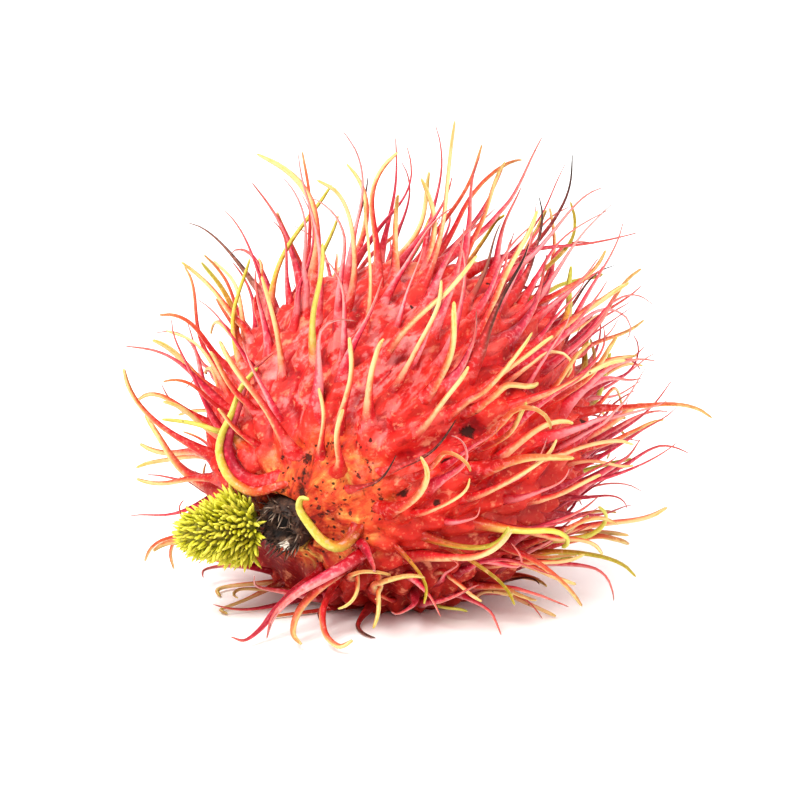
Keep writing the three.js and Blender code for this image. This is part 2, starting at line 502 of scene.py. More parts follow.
class ShapeGraph(Graph):
    """A Geometry Nodes tree with named inputs."""

    def __init__(self, name: str) -> None:
        """Start a tree that takes a geometry and gives one."""
        super().__init__(bpy.data.node_groups.new(name, "GeometryNodeTree"))
        for way in ("INPUT", "OUTPUT"):
            self.tree.interface.new_socket("Geometry", in_out=way, socket_type="NodeSocketGeometry")
        self.source = self.add("NodeGroupInput")
        self.sink = self.add("NodeGroupOutput")

    def inputs(self, kind: str, *names: str) -> list[Socket]:
        """Add named inputs.

        Args:
            kind: What they hold, such as Float or Object.
            *names: Their names.

        Returns:
            The sockets that give them inside the tree, in the same order.
        """
        for name in names:
            self.tree.interface.new_socket(name, in_out="INPUT", socket_type=f"NodeSocket{kind}")
        return [self.source.outputs[name] for name in names]

    def named(self, name: str) -> Socket:
        """Read a number that the geometry carries."""
        return self.out("GeometryNodeInputNamedAttribute", {"Name": name}, data_type="FLOAT")

    def random(self, low: float, high: float, seed: object) -> Socket:
        """Give each point its own number between two."""
        inputs = {2: low, 3: high, "Seed": seed}
        return self.add("FunctionNodeRandomValue", inputs, data_type="FLOAT").outputs[1]

    def store(
        self, geometry: Socket, name: str, value: object, kind: str = "FLOAT", domain: str = "POINT"
    ) -> Socket:
        """Keep a value on the geometry.

        Args:
            geometry: The geometry's socket.
            name: What the value is called.
            value: The value.
            kind: Its type.
            domain: What carries it.

        Returns:
            The geometry that carries the value.
        """
        inputs = {"Geometry": geometry, "Name": name, "Value": value}
        return self.out("GeometryNodeStoreNamedAttribute", inputs, data_type=kind, domain=domain)

    def shape_of(self, thing: Socket) -> Socket:
        """Return an object's geometry."""
        return self.add("GeometryNodeObjectInfo", {"Object": thing}).outputs["Geometry"]

    def moved(self, geometry: Socket, **how: Socket) -> Socket:
        """Move a geometry's points to a Position or by an Offset."""
        return self.out("GeometryNodeSetPosition", {"Geometry": geometry, **how})

    def pressed_flat(self, geometry: Socket) -> Socket:
        """Press what reaches below the ground flat onto it, with a soft edge."""
        x, y, z = self.split(self.out("GeometryNodeInputPosition"))
        return self.moved(geometry, Position=self.xyz(x, y, self.math("SMOOTH_MAX", z, 0.0, GROUND_SOFTNESS)))

    def finish(self, geometry: Socket, material: Socket) -> None:
        """End the tree: realize what is repeated, shade it smooth and set its finish."""
        whole = self.out("GeometryNodeRealizeInstances", {"Geometry": geometry})
        rounded = self.out("GeometryNodeSetShadeSmooth", {"Geometry": whole})
        dressed = self.out("GeometryNodeSetMaterial", {"Geometry": rounded, "Material": material})
        self.feed(self.sink.inputs[0], dressed)

    def make(self, name: str, start: bpy.types.Mesh, values: dict[str, object]) -> bpy.types.Object:
        """Run the tree once and keep the result as a plain mesh.

        Args:
            name: The piece's name.
            start: The mesh that the tree begins from.
            values: What each named input holds.

        Returns:
            The finished piece, at the origin.
        """
        piece = placed(name, start)
        modifier = piece.modifiers.new("Shape", "NODES")
        modifier.node_group = self.tree
        for item in self.tree.interface.items_tree:
            if item.name in values and item.in_out == "INPUT":
                modifier[item.identifier] = values[item.name]
        depsgraph = bpy.context.evaluated_depsgraph_get()
        shape = bpy.data.meshes.new_from_object(
            piece.evaluated_get(depsgraph), preserve_all_data_layers=True, depsgraph=depsgraph
        )
        shape.name = name
        piece.modifiers.remove(modifier)
        piece.data = shape
        bpy.data.meshes.remove(start)
        return piece


# ---- Meshes ----


def placed(name: str, data: bpy.types.ID) -> bpy.types.Object:
    """Stand a mesh, a light or a camera in the scene, at the origin."""
    holder = bpy.data.objects.new(name, data)
    bpy.context.scene.collection.objects.link(holder)
    return holder


def outwards(mesh: bpy.types.Mesh) -> None:
    """Turn every face of a closed mesh to point outwards."""
    shell = bmesh.new()
    shell.from_mesh(mesh)
    bmesh.ops.recalc_face_normals(shell, faces=shell.faces)
    shell.to_mesh(mesh)
    shell.free()


def plain_mesh(
    name: str, points: np.ndarray, edges: list, faces: list, **carried: np.ndarray
) -> bpy.types.Mesh:
    """Make a mesh.

    Args:
        name: The mesh's name.
        points: Rows of points.
        edges: Pairs of point numbers.
        faces: Loops of point numbers.
        **carried: Numbers for the points to carry, by name.

    Returns:
        The mesh.
    """
    mesh = bpy.data.meshes.new(name)
    mesh.from_pydata(np.asarray(points).tolist(), edges, faces)
    for label, values in carried.items():
        layer = mesh.attributes.new(label, "FLOAT", "POINT")
        layer.data.foreach_set("value", np.asarray(values, np.float32).ravel())
    mesh.update()
    return mesh


def lathe(
    name: str, outline: list[tuple[float, float]], foot: np.ndarray, axis: np.ndarray, sides: int
) -> bpy.types.Mesh:
    """Turn an outline into a closed mesh.

    Args:
        name: The mesh's name.
        outline: Radius and height of each ring, from the foot's pole to the far pole.
        foot: Where height 0 is.
        axis: Unit direction of rising height.
        sides: Faces round each ring.

    Returns:
        The mesh, carrying "share", the place along the outline from 0 to 1.
    """
    across = unit(np.cross((0, 0, 1), axis))
    other = np.cross(axis, across)
    turns = np.linspace(0, FULL_TURN, sides, endpoint=False)
    ring = np.cos(turns)[:, None] * across + np.sin(turns)[:, None] * other
    rings = [foot + axis * height + ring * radius for radius, height in outline[1:-1]]
    points = np.vstack([foot + axis * outline[0][1], *rings, foot + axis * outline[-1][1]])
    count = len(rings)
    faces = []
    for side in range(sides):
        after = (side + 1) % sides
        faces.append((0, 1 + after, 1 + side))
        last = 1 + (count - 1) * sides
        faces.append((last + side, last + after, len(points) - 1))
        for row in range(count - 1):
            low = 1 + row * sides
            faces.append((low + side, low + after, low + sides + after, low + sides + side))
    shares = np.concatenate([[0], np.repeat((np.arange(count) + 1) / (count + 1), sides), [1]])
    return plain_mesh(name, points, [], faces, share=shares)


# ---- Finishes ----


RED_DEEP: Colour = (0.26, 0.001, 0.003)
# Pale pink, used for the painted highlight on the rind's upper shoulder and for pale streaks on the
# spinterns.
PALE_PINK: Colour = (0.76, 0.36, 0.35)
# Pale orange of the rind's own mottle, partly also a painted highlight.
PALE_FLECK_AND_HIGHLIGHT: Colour = (0.84, 0.33, 0.19)


@dataclass(frozen=True)
class SkinColour:
    """The clouded red that the rind and the foot of each spintern share.

    It carries a painted highlight, paler and pinker, over the upper shoulder, and painted shade, deep
    crimson, low down.
    """

    clouds: Ramp = (
        (0.39, RED_DEEP),
        (0.46, (0.50, 0.004, 0.006)),
        (0.56, (0.57, 0.026, 0.015)),
        (0.66, (0.70, 0.15, 0.105)),
    )
    broad_weight: float = 0.42
    close_weight: float = 0.58
    drawn_out: float = 0.62
    # Painted highlight: paler pink round a point above the upper left shoulder.
    painted_highlight_centre: Point = (-8.0 * MM, -8.0 * MM, 37.0 * MM)
    painted_highlight_from: float = 29 * MM
    painted_highlight_fully: float = 9 * MM
    pale_least: float = 0.05
    pale_most: float = 0.60
    # Painted shade: deep crimson laid over the lower rind and the spinterns' feet.
    shade: Coat = Coat((0.17, 0.001, 0.003), start=17 * MM, full=-3 * MM, most=0.92)
    shade_wander: float = 12 * MM

    def on(self, graph: ShaderGraph) -> Socket:
        """Add the colour to a material, and return its socket."""
        place = graph.place
        broad = graph.noise(place, scale=85, detail=2)
        drawn = graph.drawn_out(place, STEM, self.drawn_out)
        close = graph.noise(drawn, scale=520, detail=4, roughness=0.62, swirl=0.3)
        broad_part, close_part = graph.times(broad, self.broad_weight), graph.times(close, self.close_weight)
        colour = graph.ramp(graph.math("ADD", broad_part, close_part), self.clouds)
        # Painted highlight: paler pink over the upper shoulder, fading with distance from its centre.
        lit = graph.remap(graph.vector("DISTANCE", place, self.painted_highlight_centre), self.painted_highlight_from, self.painted_highlight_fully)
        pale = graph.times(lit, graph.remap(close, 0.49, 0.60, self.pale_least, self.pale_most))
        colour = graph.blend(pale, colour, PALE_PINK)
        # Painted shade: deeper crimson towards the bottom, its edge wandering with the broad clouds.
        low = graph.raised(graph.split(place)[2], broad, -self.shade_wander)
        return graph.coat(colour, low, self.shade)


@dataclass(frozen=True)
class Blemish:
    """A dark spot on the rind."""

    direction: Point
    radius: float


@dataclass(frozen=True)
class RindFinish:
    """Waxy red skin with painted shade between the bumps and paler orange on them, partly its own tint and
    partly a painted highlight; corky orange-brown beside the stalk, with dark specks and spots.
    """

    # Painted shade: deep red in the valleys between the bumps.
    valley_painted_shade: Coat = Coat((0.20, 0.002, 0.005), start=0.30, full=0.02, most=0.85)
    # Paler orange on the bump tops: partly the rind's own tint, partly a painted highlight.
    crest: Coat = Coat((0.68, 0.050, 0.028), start=0.25, full=0.6, most=0.4)
    dark_grain: Coat = Coat(RED_DEEP, start=0.46, full=0.34, most=0.6)
    # Pale orange mottle along the grain and in fine flecks: the rind's own, partly also a painted highlight.
    pale_grain_and_highlight: Coat = Coat(PALE_FLECK_AND_HIGHLIGHT, start=0.58, full=0.70, most=0.62)
    flecks_and_highlights: Coat = Coat(PALE_FLECK_AND_HIGHLIGHT, start=0.58, full=0.70, most=0.34)
    cork: Ramp = (
        (0.40, (0.13, 0.020, 0.008)),
        (0.47, (0.52, 0.060, 0.018)),
        (0.55, (0.62, 0.16, 0.040)),
        (0.61, (0.68, 0.40, 0.10)),
    )
    cork_crumbs: Specks = Specks(1500, radius=0.36, share=0.22)
    pores: Specks = Specks(430, radius=0.14, share=0.16)
    freckles: Specks = Specks(170, radius=0.12, share=0.14)
    rot: Colour = (0.035, 0.012, 0.008)
    rot_strength: float = 0.93
    fine_height: float = 0.3
    grain_height: float = 1.5
    cork_height: float = 1.6
    pit_depth: float = 0.8
    blemishes: tuple[Blemish, ...] = (
        Blemish((0.614, 0.187, 0.767), 1.2 * MM),
        Blemish((0.638, -0.016, 0.770), 0.9 * MM),
        Blemish((0.829, 0.382, 0.409), 0.95 * MM),
        Blemish((0.151, 0.387, 0.910), 0.7 * MM),
        Blemish((0.092, 0.877, 0.472), 0.5 * MM),
        Blemish((0.250, 0.894, 0.373), 0.4 * MM),
        Blemish((0.524, 0.844, 0.116), 0.6 * MM),
        Blemish((0.361, 0.898, -0.250), 0.5 * MM),
        Blemish((0.413, 0.572, 0.709), 0.35 * MM),
        Blemish((0.030, 0.235, 0.971), 1.0 * MM),
        Blemish((0.130, 0.205, 0.970), 0.8 * MM),
        Blemish((-0.060, 0.205, 0.977), 0.7 * MM),
        Blemish((-0.700, 0.520, 0.480), 0.6 * MM),
        Blemish((-0.300, 0.450, -0.840), 0.8 * MM),
    )

    def material(self) -> bpy.types.Material:
        """Return the finish as a material."""
        graph = ShaderGraph("rind_skin")
        place = graph.place
        skin = SkinColour()
        crest, cork = graph.attribute("crest"), graph.attribute("cork")
        fine = graph.noise(place, scale=1500, detail=3)
        drawn = graph.drawn_out(place, STEM, skin.drawn_out)
        grain = graph.noise(drawn, scale=560, detail=4, roughness=0.62)
        streaks = self.streaks(graph)

        # The clouded red, with its painted highlight and painted shade.
        colour = skin.on(graph)
        for pattern, coat in (
            # painted shade in the valleys between the bumps
            (crest, self.valley_painted_shade),
            # paler orange on the bump tops, partly a painted highlight
            (crest, self.crest),
            (grain, self.dark_grain),
            # pale mottle along the grain and in flecks, partly a painted highlight
            (grain, self.pale_grain_and_highlight),
            (fine, self.flecks_and_highlights),
        ):
            colour = graph.coat(colour, pattern, coat)
        crumbs = graph.noise(place, scale=420, detail=5, roughness=0.66, swirl=1.0)
        corky = graph.ramp(graph.raised(graph.times(streaks, 0.6), crumbs, 0.4), self.cork)
        patches = graph.noise(place, scale=430, detail=4, roughness=0.6, swirl=0.5)
        patchy = graph.remap(patches, 0.36, 0.56, 0.35, 0.95)
        colour = graph.blend(graph.times(cork, patchy), colour, corky)
        dark = self.dark_places(graph, cork)
        colour = graph.blend(graph.times(dark, self.rot_strength), colour, self.rot)

        height = graph.raised(graph.times(grain, self.grain_height), fine, self.fine_height)
        height = graph.math("ADD", height, graph.times(streaks, graph.times(cork, self.cork_height)))
        height = graph.math("SUBTRACT", height, graph.times(dark, self.pit_depth))
        graph.bump(height, distance=0.16 * MM, strength=0.8)
        rough = graph.math("ADD", graph.remap(grain, 0.3, 0.7, 0.30, 0.52), graph.times(cork, 0.2))
        return graph.dress(
            base_color=colour,
            roughness=graph.most(rough, graph.times(dark, 0.75)),
            subsurface_weight=0.06,
            subsurface_radius=(1.0, 0.2, 0.12),
            subsurface_scale=1.0 * MM,
            specular_ior_level=0.20,
            coat_weight=0.02,
            coat_roughness=0.15,
        )

    def dark_places(self, graph: ShaderGraph, cork: Socket) -> Socket:
        """Mark the scabs and cracks in the cork, the specks and the spots, each with 1."""
        scabs = graph.remap(graph.noise(graph.place, scale=1150, detail=2, roughness=0.5), 0.63, 0.68, 0, 0.9)
        peppered = graph.times(graph.most(scabs, graph.specks(self.cork_crumbs)), graph.remap(cork, 0.1, 0.6))
        centres = [tuple(FORM.at(unit(np.array(blemish.direction)))[0]) for blemish in self.blemishes]
        return graph.most(
            graph.specks(self.pores),
            peppered,
            graph.specks(self.freckles),
            graph.times(self.cracks(graph), cork),
            *(graph.spot(centre, blemish.radius) for centre, blemish in zip(centres, self.blemishes)),
        )

    @staticmethod
    def streaks(graph: ShaderGraph) -> Socket:
        """Add noise drawn out into rays from the stalk."""
        _, flat = graph.about(graph.place, tuple(FORM.stem_end), STEM)
        ray = graph.vector("SCALE", graph.vector("NORMALIZE", flat), scale=6 * MM)
        place = graph.vector("ADD", ray, graph.vector("SCALE", flat, scale=0.14))
        return graph.noise(place, scale=620, detail=5, roughness=0.62, swirl=0.4)

    @staticmethod
    def cracks(graph: ShaderGraph) -> Socket:
        """Add the fine dark cracks between plates of cork."""
        bent = graph.vector("ADD", graph.place, graph.vector("SCALE", graph.wander(500), scale=1.6 * MM))
        inputs = {"Vector": bent, "Scale": 480.0}
        plates = graph.out("ShaderNodeTexVoronoi", inputs, feature="DISTANCE_TO_EDGE")
        broken = graph.remap(graph.noise(graph.place, scale=900, detail=3), 0.56, 0.62, 0, 0.5)
        return graph.times(graph.remap(plates, 0.055, 0.01), broken)


class SpinternKind(Enum):
    """How a spintern has ripened. The value is its piece's name."""

    YELLOW_TIPPED = "spinterns_yellow_tipped"
    ROSE = "spinterns_rose"
    GREENISH = "spinterns_greenish"
    DRIED = "spinterns_dried"


@dataclass(frozen=True)
class SpinternFinish:
    """Soft satin skin that turns from the rind's red at the foot to its own colour at the tip."""

    kind: SpinternKind
    shaft: Colour
    turning: Colour
    tip: Colour
    end: Colour
    turns_at: float
    # Pale colour of the spintern's own paler side and specks, partly also a painted highlight down one side.
    pale_and_highlight: Colour = (0.74, 0.51, 0.27)
    # Painted shade multiplied down one side, partly the spintern's own darker edge.
    dark_edge_and_shade: Colour = (0.62, 0.36, 0.28)
    other: Colour = (1.0, 0.72, 0.72)
    worn: Colour = (0.10, 0.025, 0.012)
    scars: Specks = Specks(900, radius=0.16, share=0.07)
    scar_strength: float = 0.8
    roughness: float = 0.36

    @property
    def lengthwise(self) -> Ramp:
        """Its colours from the foot to the tip."""
        return (
            (0.0, self.shaft),
            (max(self.turns_at - 0.30, 0.05), self.shaft),
            (self.turns_at, self.turning),
            (self.turns_at + 0.20, self.tip),
            (0.93, self.tip),
            (1.0, self.end),
        )

    def material(self) -> bpy.types.Material:
        """Return the finish as a material."""
        graph = ShaderGraph(self.kind.value)
        share, tone, side = (graph.attribute(name) for name in ("share", "tone", "side"))
        mottle, streak, dust = (
            graph.noise(graph.place, scale, detail) for scale, detail in ((420, 3), (1600, 2), (3600, 2))
        )
        wander = graph.raised(graph.times(tone, 0.22), mottle, 0.22)
        along = graph.math("SUBTRACT", graph.math("ADD", share, wander), 0.22)
        along = graph.math("ADD", along, graph.remap(side, 0.2, 0.8, -0.15, 0.15))
        own = graph.ramp(along, self.lengthwise)
        toned = graph.blend(0.6, own, self.other, "MULTIPLY")
        own = graph.coat(own, tone, Coat(toned, start=0.25, full=0.9, most=0.7))
        # The foot takes the rind's colour, with its painted highlight and painted shade.
        skin = SkinColour().on(graph)
        colour = graph.coat(own, share, Coat(skin, start=0.40, full=0.06, most=0.9))

        most = graph.remap(tone, 0.1, 1.0, 0.08, 0.42)
        fading = graph.remap(share, 0.85, 0.5)
        colour = graph.coat(colour, streak, Coat(PALE_PINK, start=0.50, full=0.72), most, fading)
        colour = graph.coat(colour, dust, Coat(self.pale_and_highlight, start=0.60, full=0.72, most=0.35))
        # Down one side a painted highlight, partly the spintern's own paler side; down the other painted
        # shade, partly its own darker edge.
        ragged_side = graph.raised(graph.math("SUBTRACT", side, 0.35), streak, 0.7)
        risen = graph.remap(share, 0.10, 0.38, 0, 0.62)
        colour = graph.coat(colour, ragged_side, Coat(self.pale_and_highlight, start=0.62, full=0.95), risen)
        risen = graph.remap(share, 0.08, 0.30, 0, 0.85)
        dark_edge_and_shade = Coat(self.dark_edge_and_shade, start=0.36, full=0.06)
        colour = graph.coat(colour, ragged_side, dark_edge_and_shade, risen, mode="MULTIPLY")
        colour = graph.blend(graph.times(graph.specks(self.scars), self.scar_strength), colour, self.worn)

        graph.bump(graph.math("ADD", streak, mottle), distance=0.10 * MM, strength=0.6)
        return graph.dress(
            base_color=colour,
            roughness=graph.remap(mottle, 0.3, 0.7, self.roughness - 0.07, self.roughness + 0.1),
            subsurface_weight=0.1,
            subsurface_radius=(1.0, 0.4, 0.2),
            subsurface_scale=0.6 * MM,
            specular_ior_level=0.22,
            coat_weight=0.02,
            coat_roughness=0.28,
        )


SPINTERN_FINISHES = (
    SpinternFinish(
        SpinternKind.YELLOW_TIPPED,
        shaft=(0.54, 0.020, 0.026),
        turning=(0.66, 0.17, 0.075),
        tip=(0.62, 0.44, 0.20),
        end=(0.46, 0.34, 0.09),
        turns_at=0.56,
        other=(0.86, 1.0, 0.62),
    ),
    SpinternFinish(
        SpinternKind.ROSE,
        shaft=(0.50, 0.012, 0.042),
        turning=(0.60, 0.062, 0.092),
        tip=(0.58, 0.13, 0.10),
        end=(0.16, 0.05, 0.03),
        turns_at=0.50,
        pale_and_highlight=(0.76, 0.34, 0.33),
        dark_edge_and_shade=(0.50, 0.34, 0.40),
        other=(0.84, 0.56, 0.84),
    ),
    SpinternFinish(
        SpinternKind.GREENISH,
        shaft=(0.60, 0.08, 0.035),
        turning=(0.54, 0.32, 0.045),
        tip=(0.43, 0.40, 0.055),
        end=(0.38, 0.36, 0.07),
        turns_at=0.36,
        pale_and_highlight=(0.60, 0.57, 0.15),
        dark_edge_and_shade=(0.55, 0.45, 0.25),
    ),
    SpinternFinish(
        SpinternKind.DRIED,
        shaft=(0.50, 0.035, 0.035),
        turning=(0.16, 0.035, 0.025),
        tip=(0.035, 0.018, 0.014),
        end=(0.02, 0.012, 0.010),
        turns_at=0.58,
        pale_and_highlight=(0.30, 0.12, 0.08),
        dark_edge_and_shade=(0.5, 0.5, 0.5),
        roughness=0.55,
    ),
)


@dataclass(frozen=True)
class StalkFinish:
    """Dry dark brown bark round a black hollow, with paler fibres and one white fleck."""

    hollow: Colour = (0.012, 0.008, 0.006)
    bark: Colour = (0.048, 0.022, 0.014)
    pale: Colour = (0.20, 0.11, 0.065)
    fibre: Coat = Coat((0.36, 0.27, 0.20), start=0.15, full=0.9, most=0.9)
    fleck: Colour = (0.82, 0.74, 0.64)
    fleck_place: Point = (-12.5 * MM, -18.2 * MM, 10.4 * MM)
    fleck_radius: float = 0.68 * MM

    def material(self) -> bpy.types.Material:
        """Return the finish as a material."""
        graph = ShaderGraph("stalk_bark")
        grain = graph.noise(graph.place, scale=900, detail=5, roughness=0.65)
        broad = graph.noise(graph.place, scale=260, detail=3)
        colour = graph.ramp(grain, ((0.34, self.hollow), (0.5, self.bark), (0.72, self.pale)))
        colour = graph.coat(colour, broad, Coat(self.bark, start=0.45, full=0.75, most=0.6))
        inside = graph.attribute("share")
        colour = graph.coat(colour, inside, Coat(self.hollow, start=0.70, full=0.86, most=0.95))
        some = graph.remap(graph.attribute("tone"), 0.35, 0.8)
        colour = graph.coat(colour, graph.attribute("rise"), self.fibre, some)
        colour = graph.blend(graph.spot(self.fleck_place, self.fleck_radius), colour, self.fleck)
        graph.bump(graph.math("ADD", grain, broad), distance=0.3 * MM)
        return graph.dress(base_color=colour, roughness=graph.remap(grain, 0.3, 0.7, 0.6, 0.9))


@dataclass(frozen=True)
class FruitletFinish:
    """Yellow-green bristles, brown at their feet."""

    foot: Colour = (0.20, 0.19, 0.014)
    green: Colour = (0.44, 0.42, 0.020)
    yellow: Colour = (0.72, 0.67, 0.10)
    brown: Colour = (0.20, 0.10, 0.02)
    tip_place: Point = (-27.0 * MM, -18.5 * MM, 8.0 * MM)
    tip_radius: float = 2.6 * MM
    tip_strength: float = 0.7

    def material(self) -> bpy.types.Material:
        """Return the finish as a material."""
        graph = ShaderGraph("fruitlet_skin")
        rise, tone = graph.attribute("rise"), graph.attribute("tone")
        broad = graph.noise(graph.place, scale=240, detail=3)
        fine = graph.noise(graph.place, scale=1800, detail=2)
        own = graph.coat(self.green, tone, Coat(self.yellow, start=0.1, full=0.9))
        colour = graph.coat(self.foot, rise, Coat(own, start=0.0, full=0.55))
        colour = graph.coat(colour, rise, Coat(self.yellow, start=0.6, full=1.0, most=0.5))
        colour = graph.coat(colour, broad, Coat(self.brown, start=0.55, full=0.75, most=0.5))
        at_tip = graph.times(graph.spot(self.tip_place, self.tip_radius), self.tip_strength)
        colour = graph.blend(at_tip, colour, self.brown)
        graph.bump(fine, distance=0.06 * MM, strength=0.6)
        return graph.dress(
            base_color=colour,
            roughness=graph.remap(fine, 0.3, 0.7, 0.42, 0.6),
            subsurface_weight=0.1,
            subsurface_radius=(0.8, 1.0, 0.2),
            subsurface_scale=0.5 * MM,
            specular_ior_level=0.28,
        )


# ---- Spinterns ----


@dataclass
class Spintern:
    """The middle line and thickness of one spintern, from its buried foot to its tip."""

    kind: SpinternKind
    line: np.ndarray
    radii: np.ndarray
    tone: float

    @property
    def root(self) -> np.ndarray:
        """Where it leaves the rind, after the points of its buried foot."""
        return self.line[FOOT_POINTS]


@dataclass(frozen=True)
class Strand:
    """A spintern with a given shape: points of its middle line in millimetres, its kind, width and shade."""

    kind: SpinternKind
    width: float
    tone: float
    knots: tuple[Point, ...]
    places: tuple[float, ...] = (0, 0.1, 0.5, 0.9, 0.985, 1)
    thick: tuple[float, ...] = (0.9, 0.85, 0.6)
    blunt: tuple[float, ...] = (0.4, 0.26)
    pointed: tuple[float, ...] = (0.2, 0.1)

    def line(self, shares: np.ndarray) -> np.ndarray:
        """Return the points at shares of a smooth line through the knots."""
        knots = np.array(self.knots) * MM
        places = np.linspace(0, 1, len(knots))
        slopes = np.gradient(knots, places, axis=0)
        points = []
        for share in shares:
            last = min(int(np.searchsorted(places, share, "right")), len(places) - 1)
            gap = places[last] - places[last - 1]
            t = (share - places[last - 1]) / gap
            points.append(
                knots[last - 1] * (2 * t**3 - 3 * t**2 + 1)
                + slopes[last - 1] * gap * (t**3 - 2 * t**2 + t)
                + knots[last] * (3 * t**2 - 2 * t**3)
                + slopes[last] * gap * (t**3 - t**2)
            )
        return np.array(points)

    def radii(self, shares: np.ndarray) -> np.ndarray:
        """Return the radius at shares of its length."""
        far = self.pointed if self.kind is SpinternKind.ROSE else self.blunt
        return np.interp(shares, self.places, [*self.thick, *far, 0]) * MM * self.width


STRANDS = (
    Strand(SpinternKind.ROSE, 1.45, 0.5, (
        (-11.7, -17.2, 18.5), (-15.6, -15.9, 17.2), (-18.3, -14.2, 18.3), (-19.4, -13.2, 20.9),
        (-19.0, -13.4, 23.3), (-18.0, -13.6, 25.9), (-16.6, -11.4, 29.6), (-13.6, -11.6, 32.4),
    )),
    Strand(SpinternKind.GREENISH, 0.85, 0.95, (
        (-12.4, -17.7, 17.8), (-16.0, -16.7, 16.5), (-18.9, -15.1, 17.7), (-20.2, -14.1, 20.3),
        (-19.9, -14.2, 22.8), (-18.8, -14.3, 25.2), (-17.6, -12.6, 28.2), (-15.6, -12.2, 30.6),
    )),
    Strand(SpinternKind.GREENISH, 0.95, 0.9, (
        (-3.6, -20.2, 14.0), (-4.3, -21.3, 12.4), (-5.9, -21.6, 11.1), (-7.8, -21.9, 11.9),
        (-9.4, -21.9, 13.9), (-10.5, -21.6, 15.6), (-10.3, -21.7, 16.9), (-9.3, -22.1, 16.9),
    )),
    Strand(SpinternKind.ROSE, 1.0, 0.9, (
        (-2.4, -20.4, 10.6), (-5.0, -22.4, 9.2), (-8.0, -23.8, 7.8),
        (-11.0, -24.8, 6.2), (-13.4, -25.8, 3.9), (-14.2, -27.2, 1.6),
    )),
    Strand(SpinternKind.YELLOW_TIPPED, 0.85, 0.6, (
        (-3.4, -19.9, 9.2), (-6.0, -22.0, 8.0), (-8.6, -23.2, 6.2),
        (-10.6, -24.2, 4.0), (-11.2, -25.8, 1.9), (-10.2, -27.8, 1.1),
    )),
    Strand(SpinternKind.ROSE, 0.8, 0.35, (
        (-8.6, -17.6, 6.6), (-11.2, -20.4, 5.4), (-13.4, -22.4, 3.6),
        (-15.0, -24.0, 1.9), (-16.8, -25.8, 1.0), (-18.4, -26.4, 1.6),
    )),
    Strand(SpinternKind.YELLOW_TIPPED, 0.7, 0.2, (
        (-5.6, -18.6, 7.0), (-7.0, -21.4, 5.6), (-7.8, -24.0, 3.8),
        (-7.4, -26.4, 1.9), (-5.8, -28.2, 1.0), (-4.2, -28.4, 1.8),
    )),
)


@dataclass(frozen=True)
class Ripening:
    """Which share of the spinterns ripens to each kind."""

    yellow: float = 0.32
    more_at_stem_end: Rise = Rise(0.28, -14 * MM, 12 * MM)
    less_on_top: Rise = Rise(0.5, 26 * MM, 37 * MM)
    rose_up_to: float = 0.89
    dried_up_to: float = 0.945

    def kind(self, index: int, root: np.ndarray) -> SpinternKind:
        """Choose how a spintern has ripened.

        Args:
            index: Which spintern it is.
            root: Where it leaves the rind.

        Returns:
            Its kind.
        """
        pick = scatter(index, Draw.KIND)
        yellow = self.yellow + self.more_at_stem_end.at((root - FORM.middle) @ FORM.axes[2])
        yellow *= 1 - self.less_on_top.at(root[2])
        if pick < yellow:
            return SpinternKind.YELLOW_TIPPED
        if pick < self.rose_up_to:
            return SpinternKind.ROSE
        return SpinternKind.DRIED if pick < self.dried_up_to else SpinternKind.GREENISH


@dataclass(frozen=True)
class Girth:
    """How thick a spintern is along its free length."""

    base_radius: float = 1.12 * MM
    places: tuple[float, ...] = (0, 0.07, 0.18, 0.38, 0.64, 0.9, 0.985, 1.0)
    foot: tuple[float, ...] = (1.18, 0.84, 0.58)
    blunt: tuple[float, ...] = (0.35, 0.29, 0.25, 0.17)
    pointed: tuple[float, ...] = (0.32, 0.18, 0.10, 0.06)
    least: float = 0.84
    spread: float = 0.36
    blade: Rise = Rise(0.55, 0.72, 0.95)
    blade_fall: float = 0.7

    def radii(self, kind: SpinternKind, index: int, shares: np.ndarray) -> np.ndarray:
        """Give a spintern's radius at each of its places.

        Args:
            kind: How it has ripened.
            index: Which spintern it is.
            shares: The places, from 0 at its root to 1 at its tip.

        Returns:
            The radii, which end in 0.
        """
        far = self.blunt if kind in (SpinternKind.YELLOW_TIPPED, SpinternKind.GREENISH) else self.pointed
        radii = np.interp(shares, self.places, [*self.foot, *far, 0])
        blade = self.blade.at(scatter(index, Draw.BLADE)) * (1 - shares) ** self.blade_fall
        size = self.least + self.spread * scatter(index, Draw.GIRTH)
        return radii * self.base_radius * size * (1 + blade)


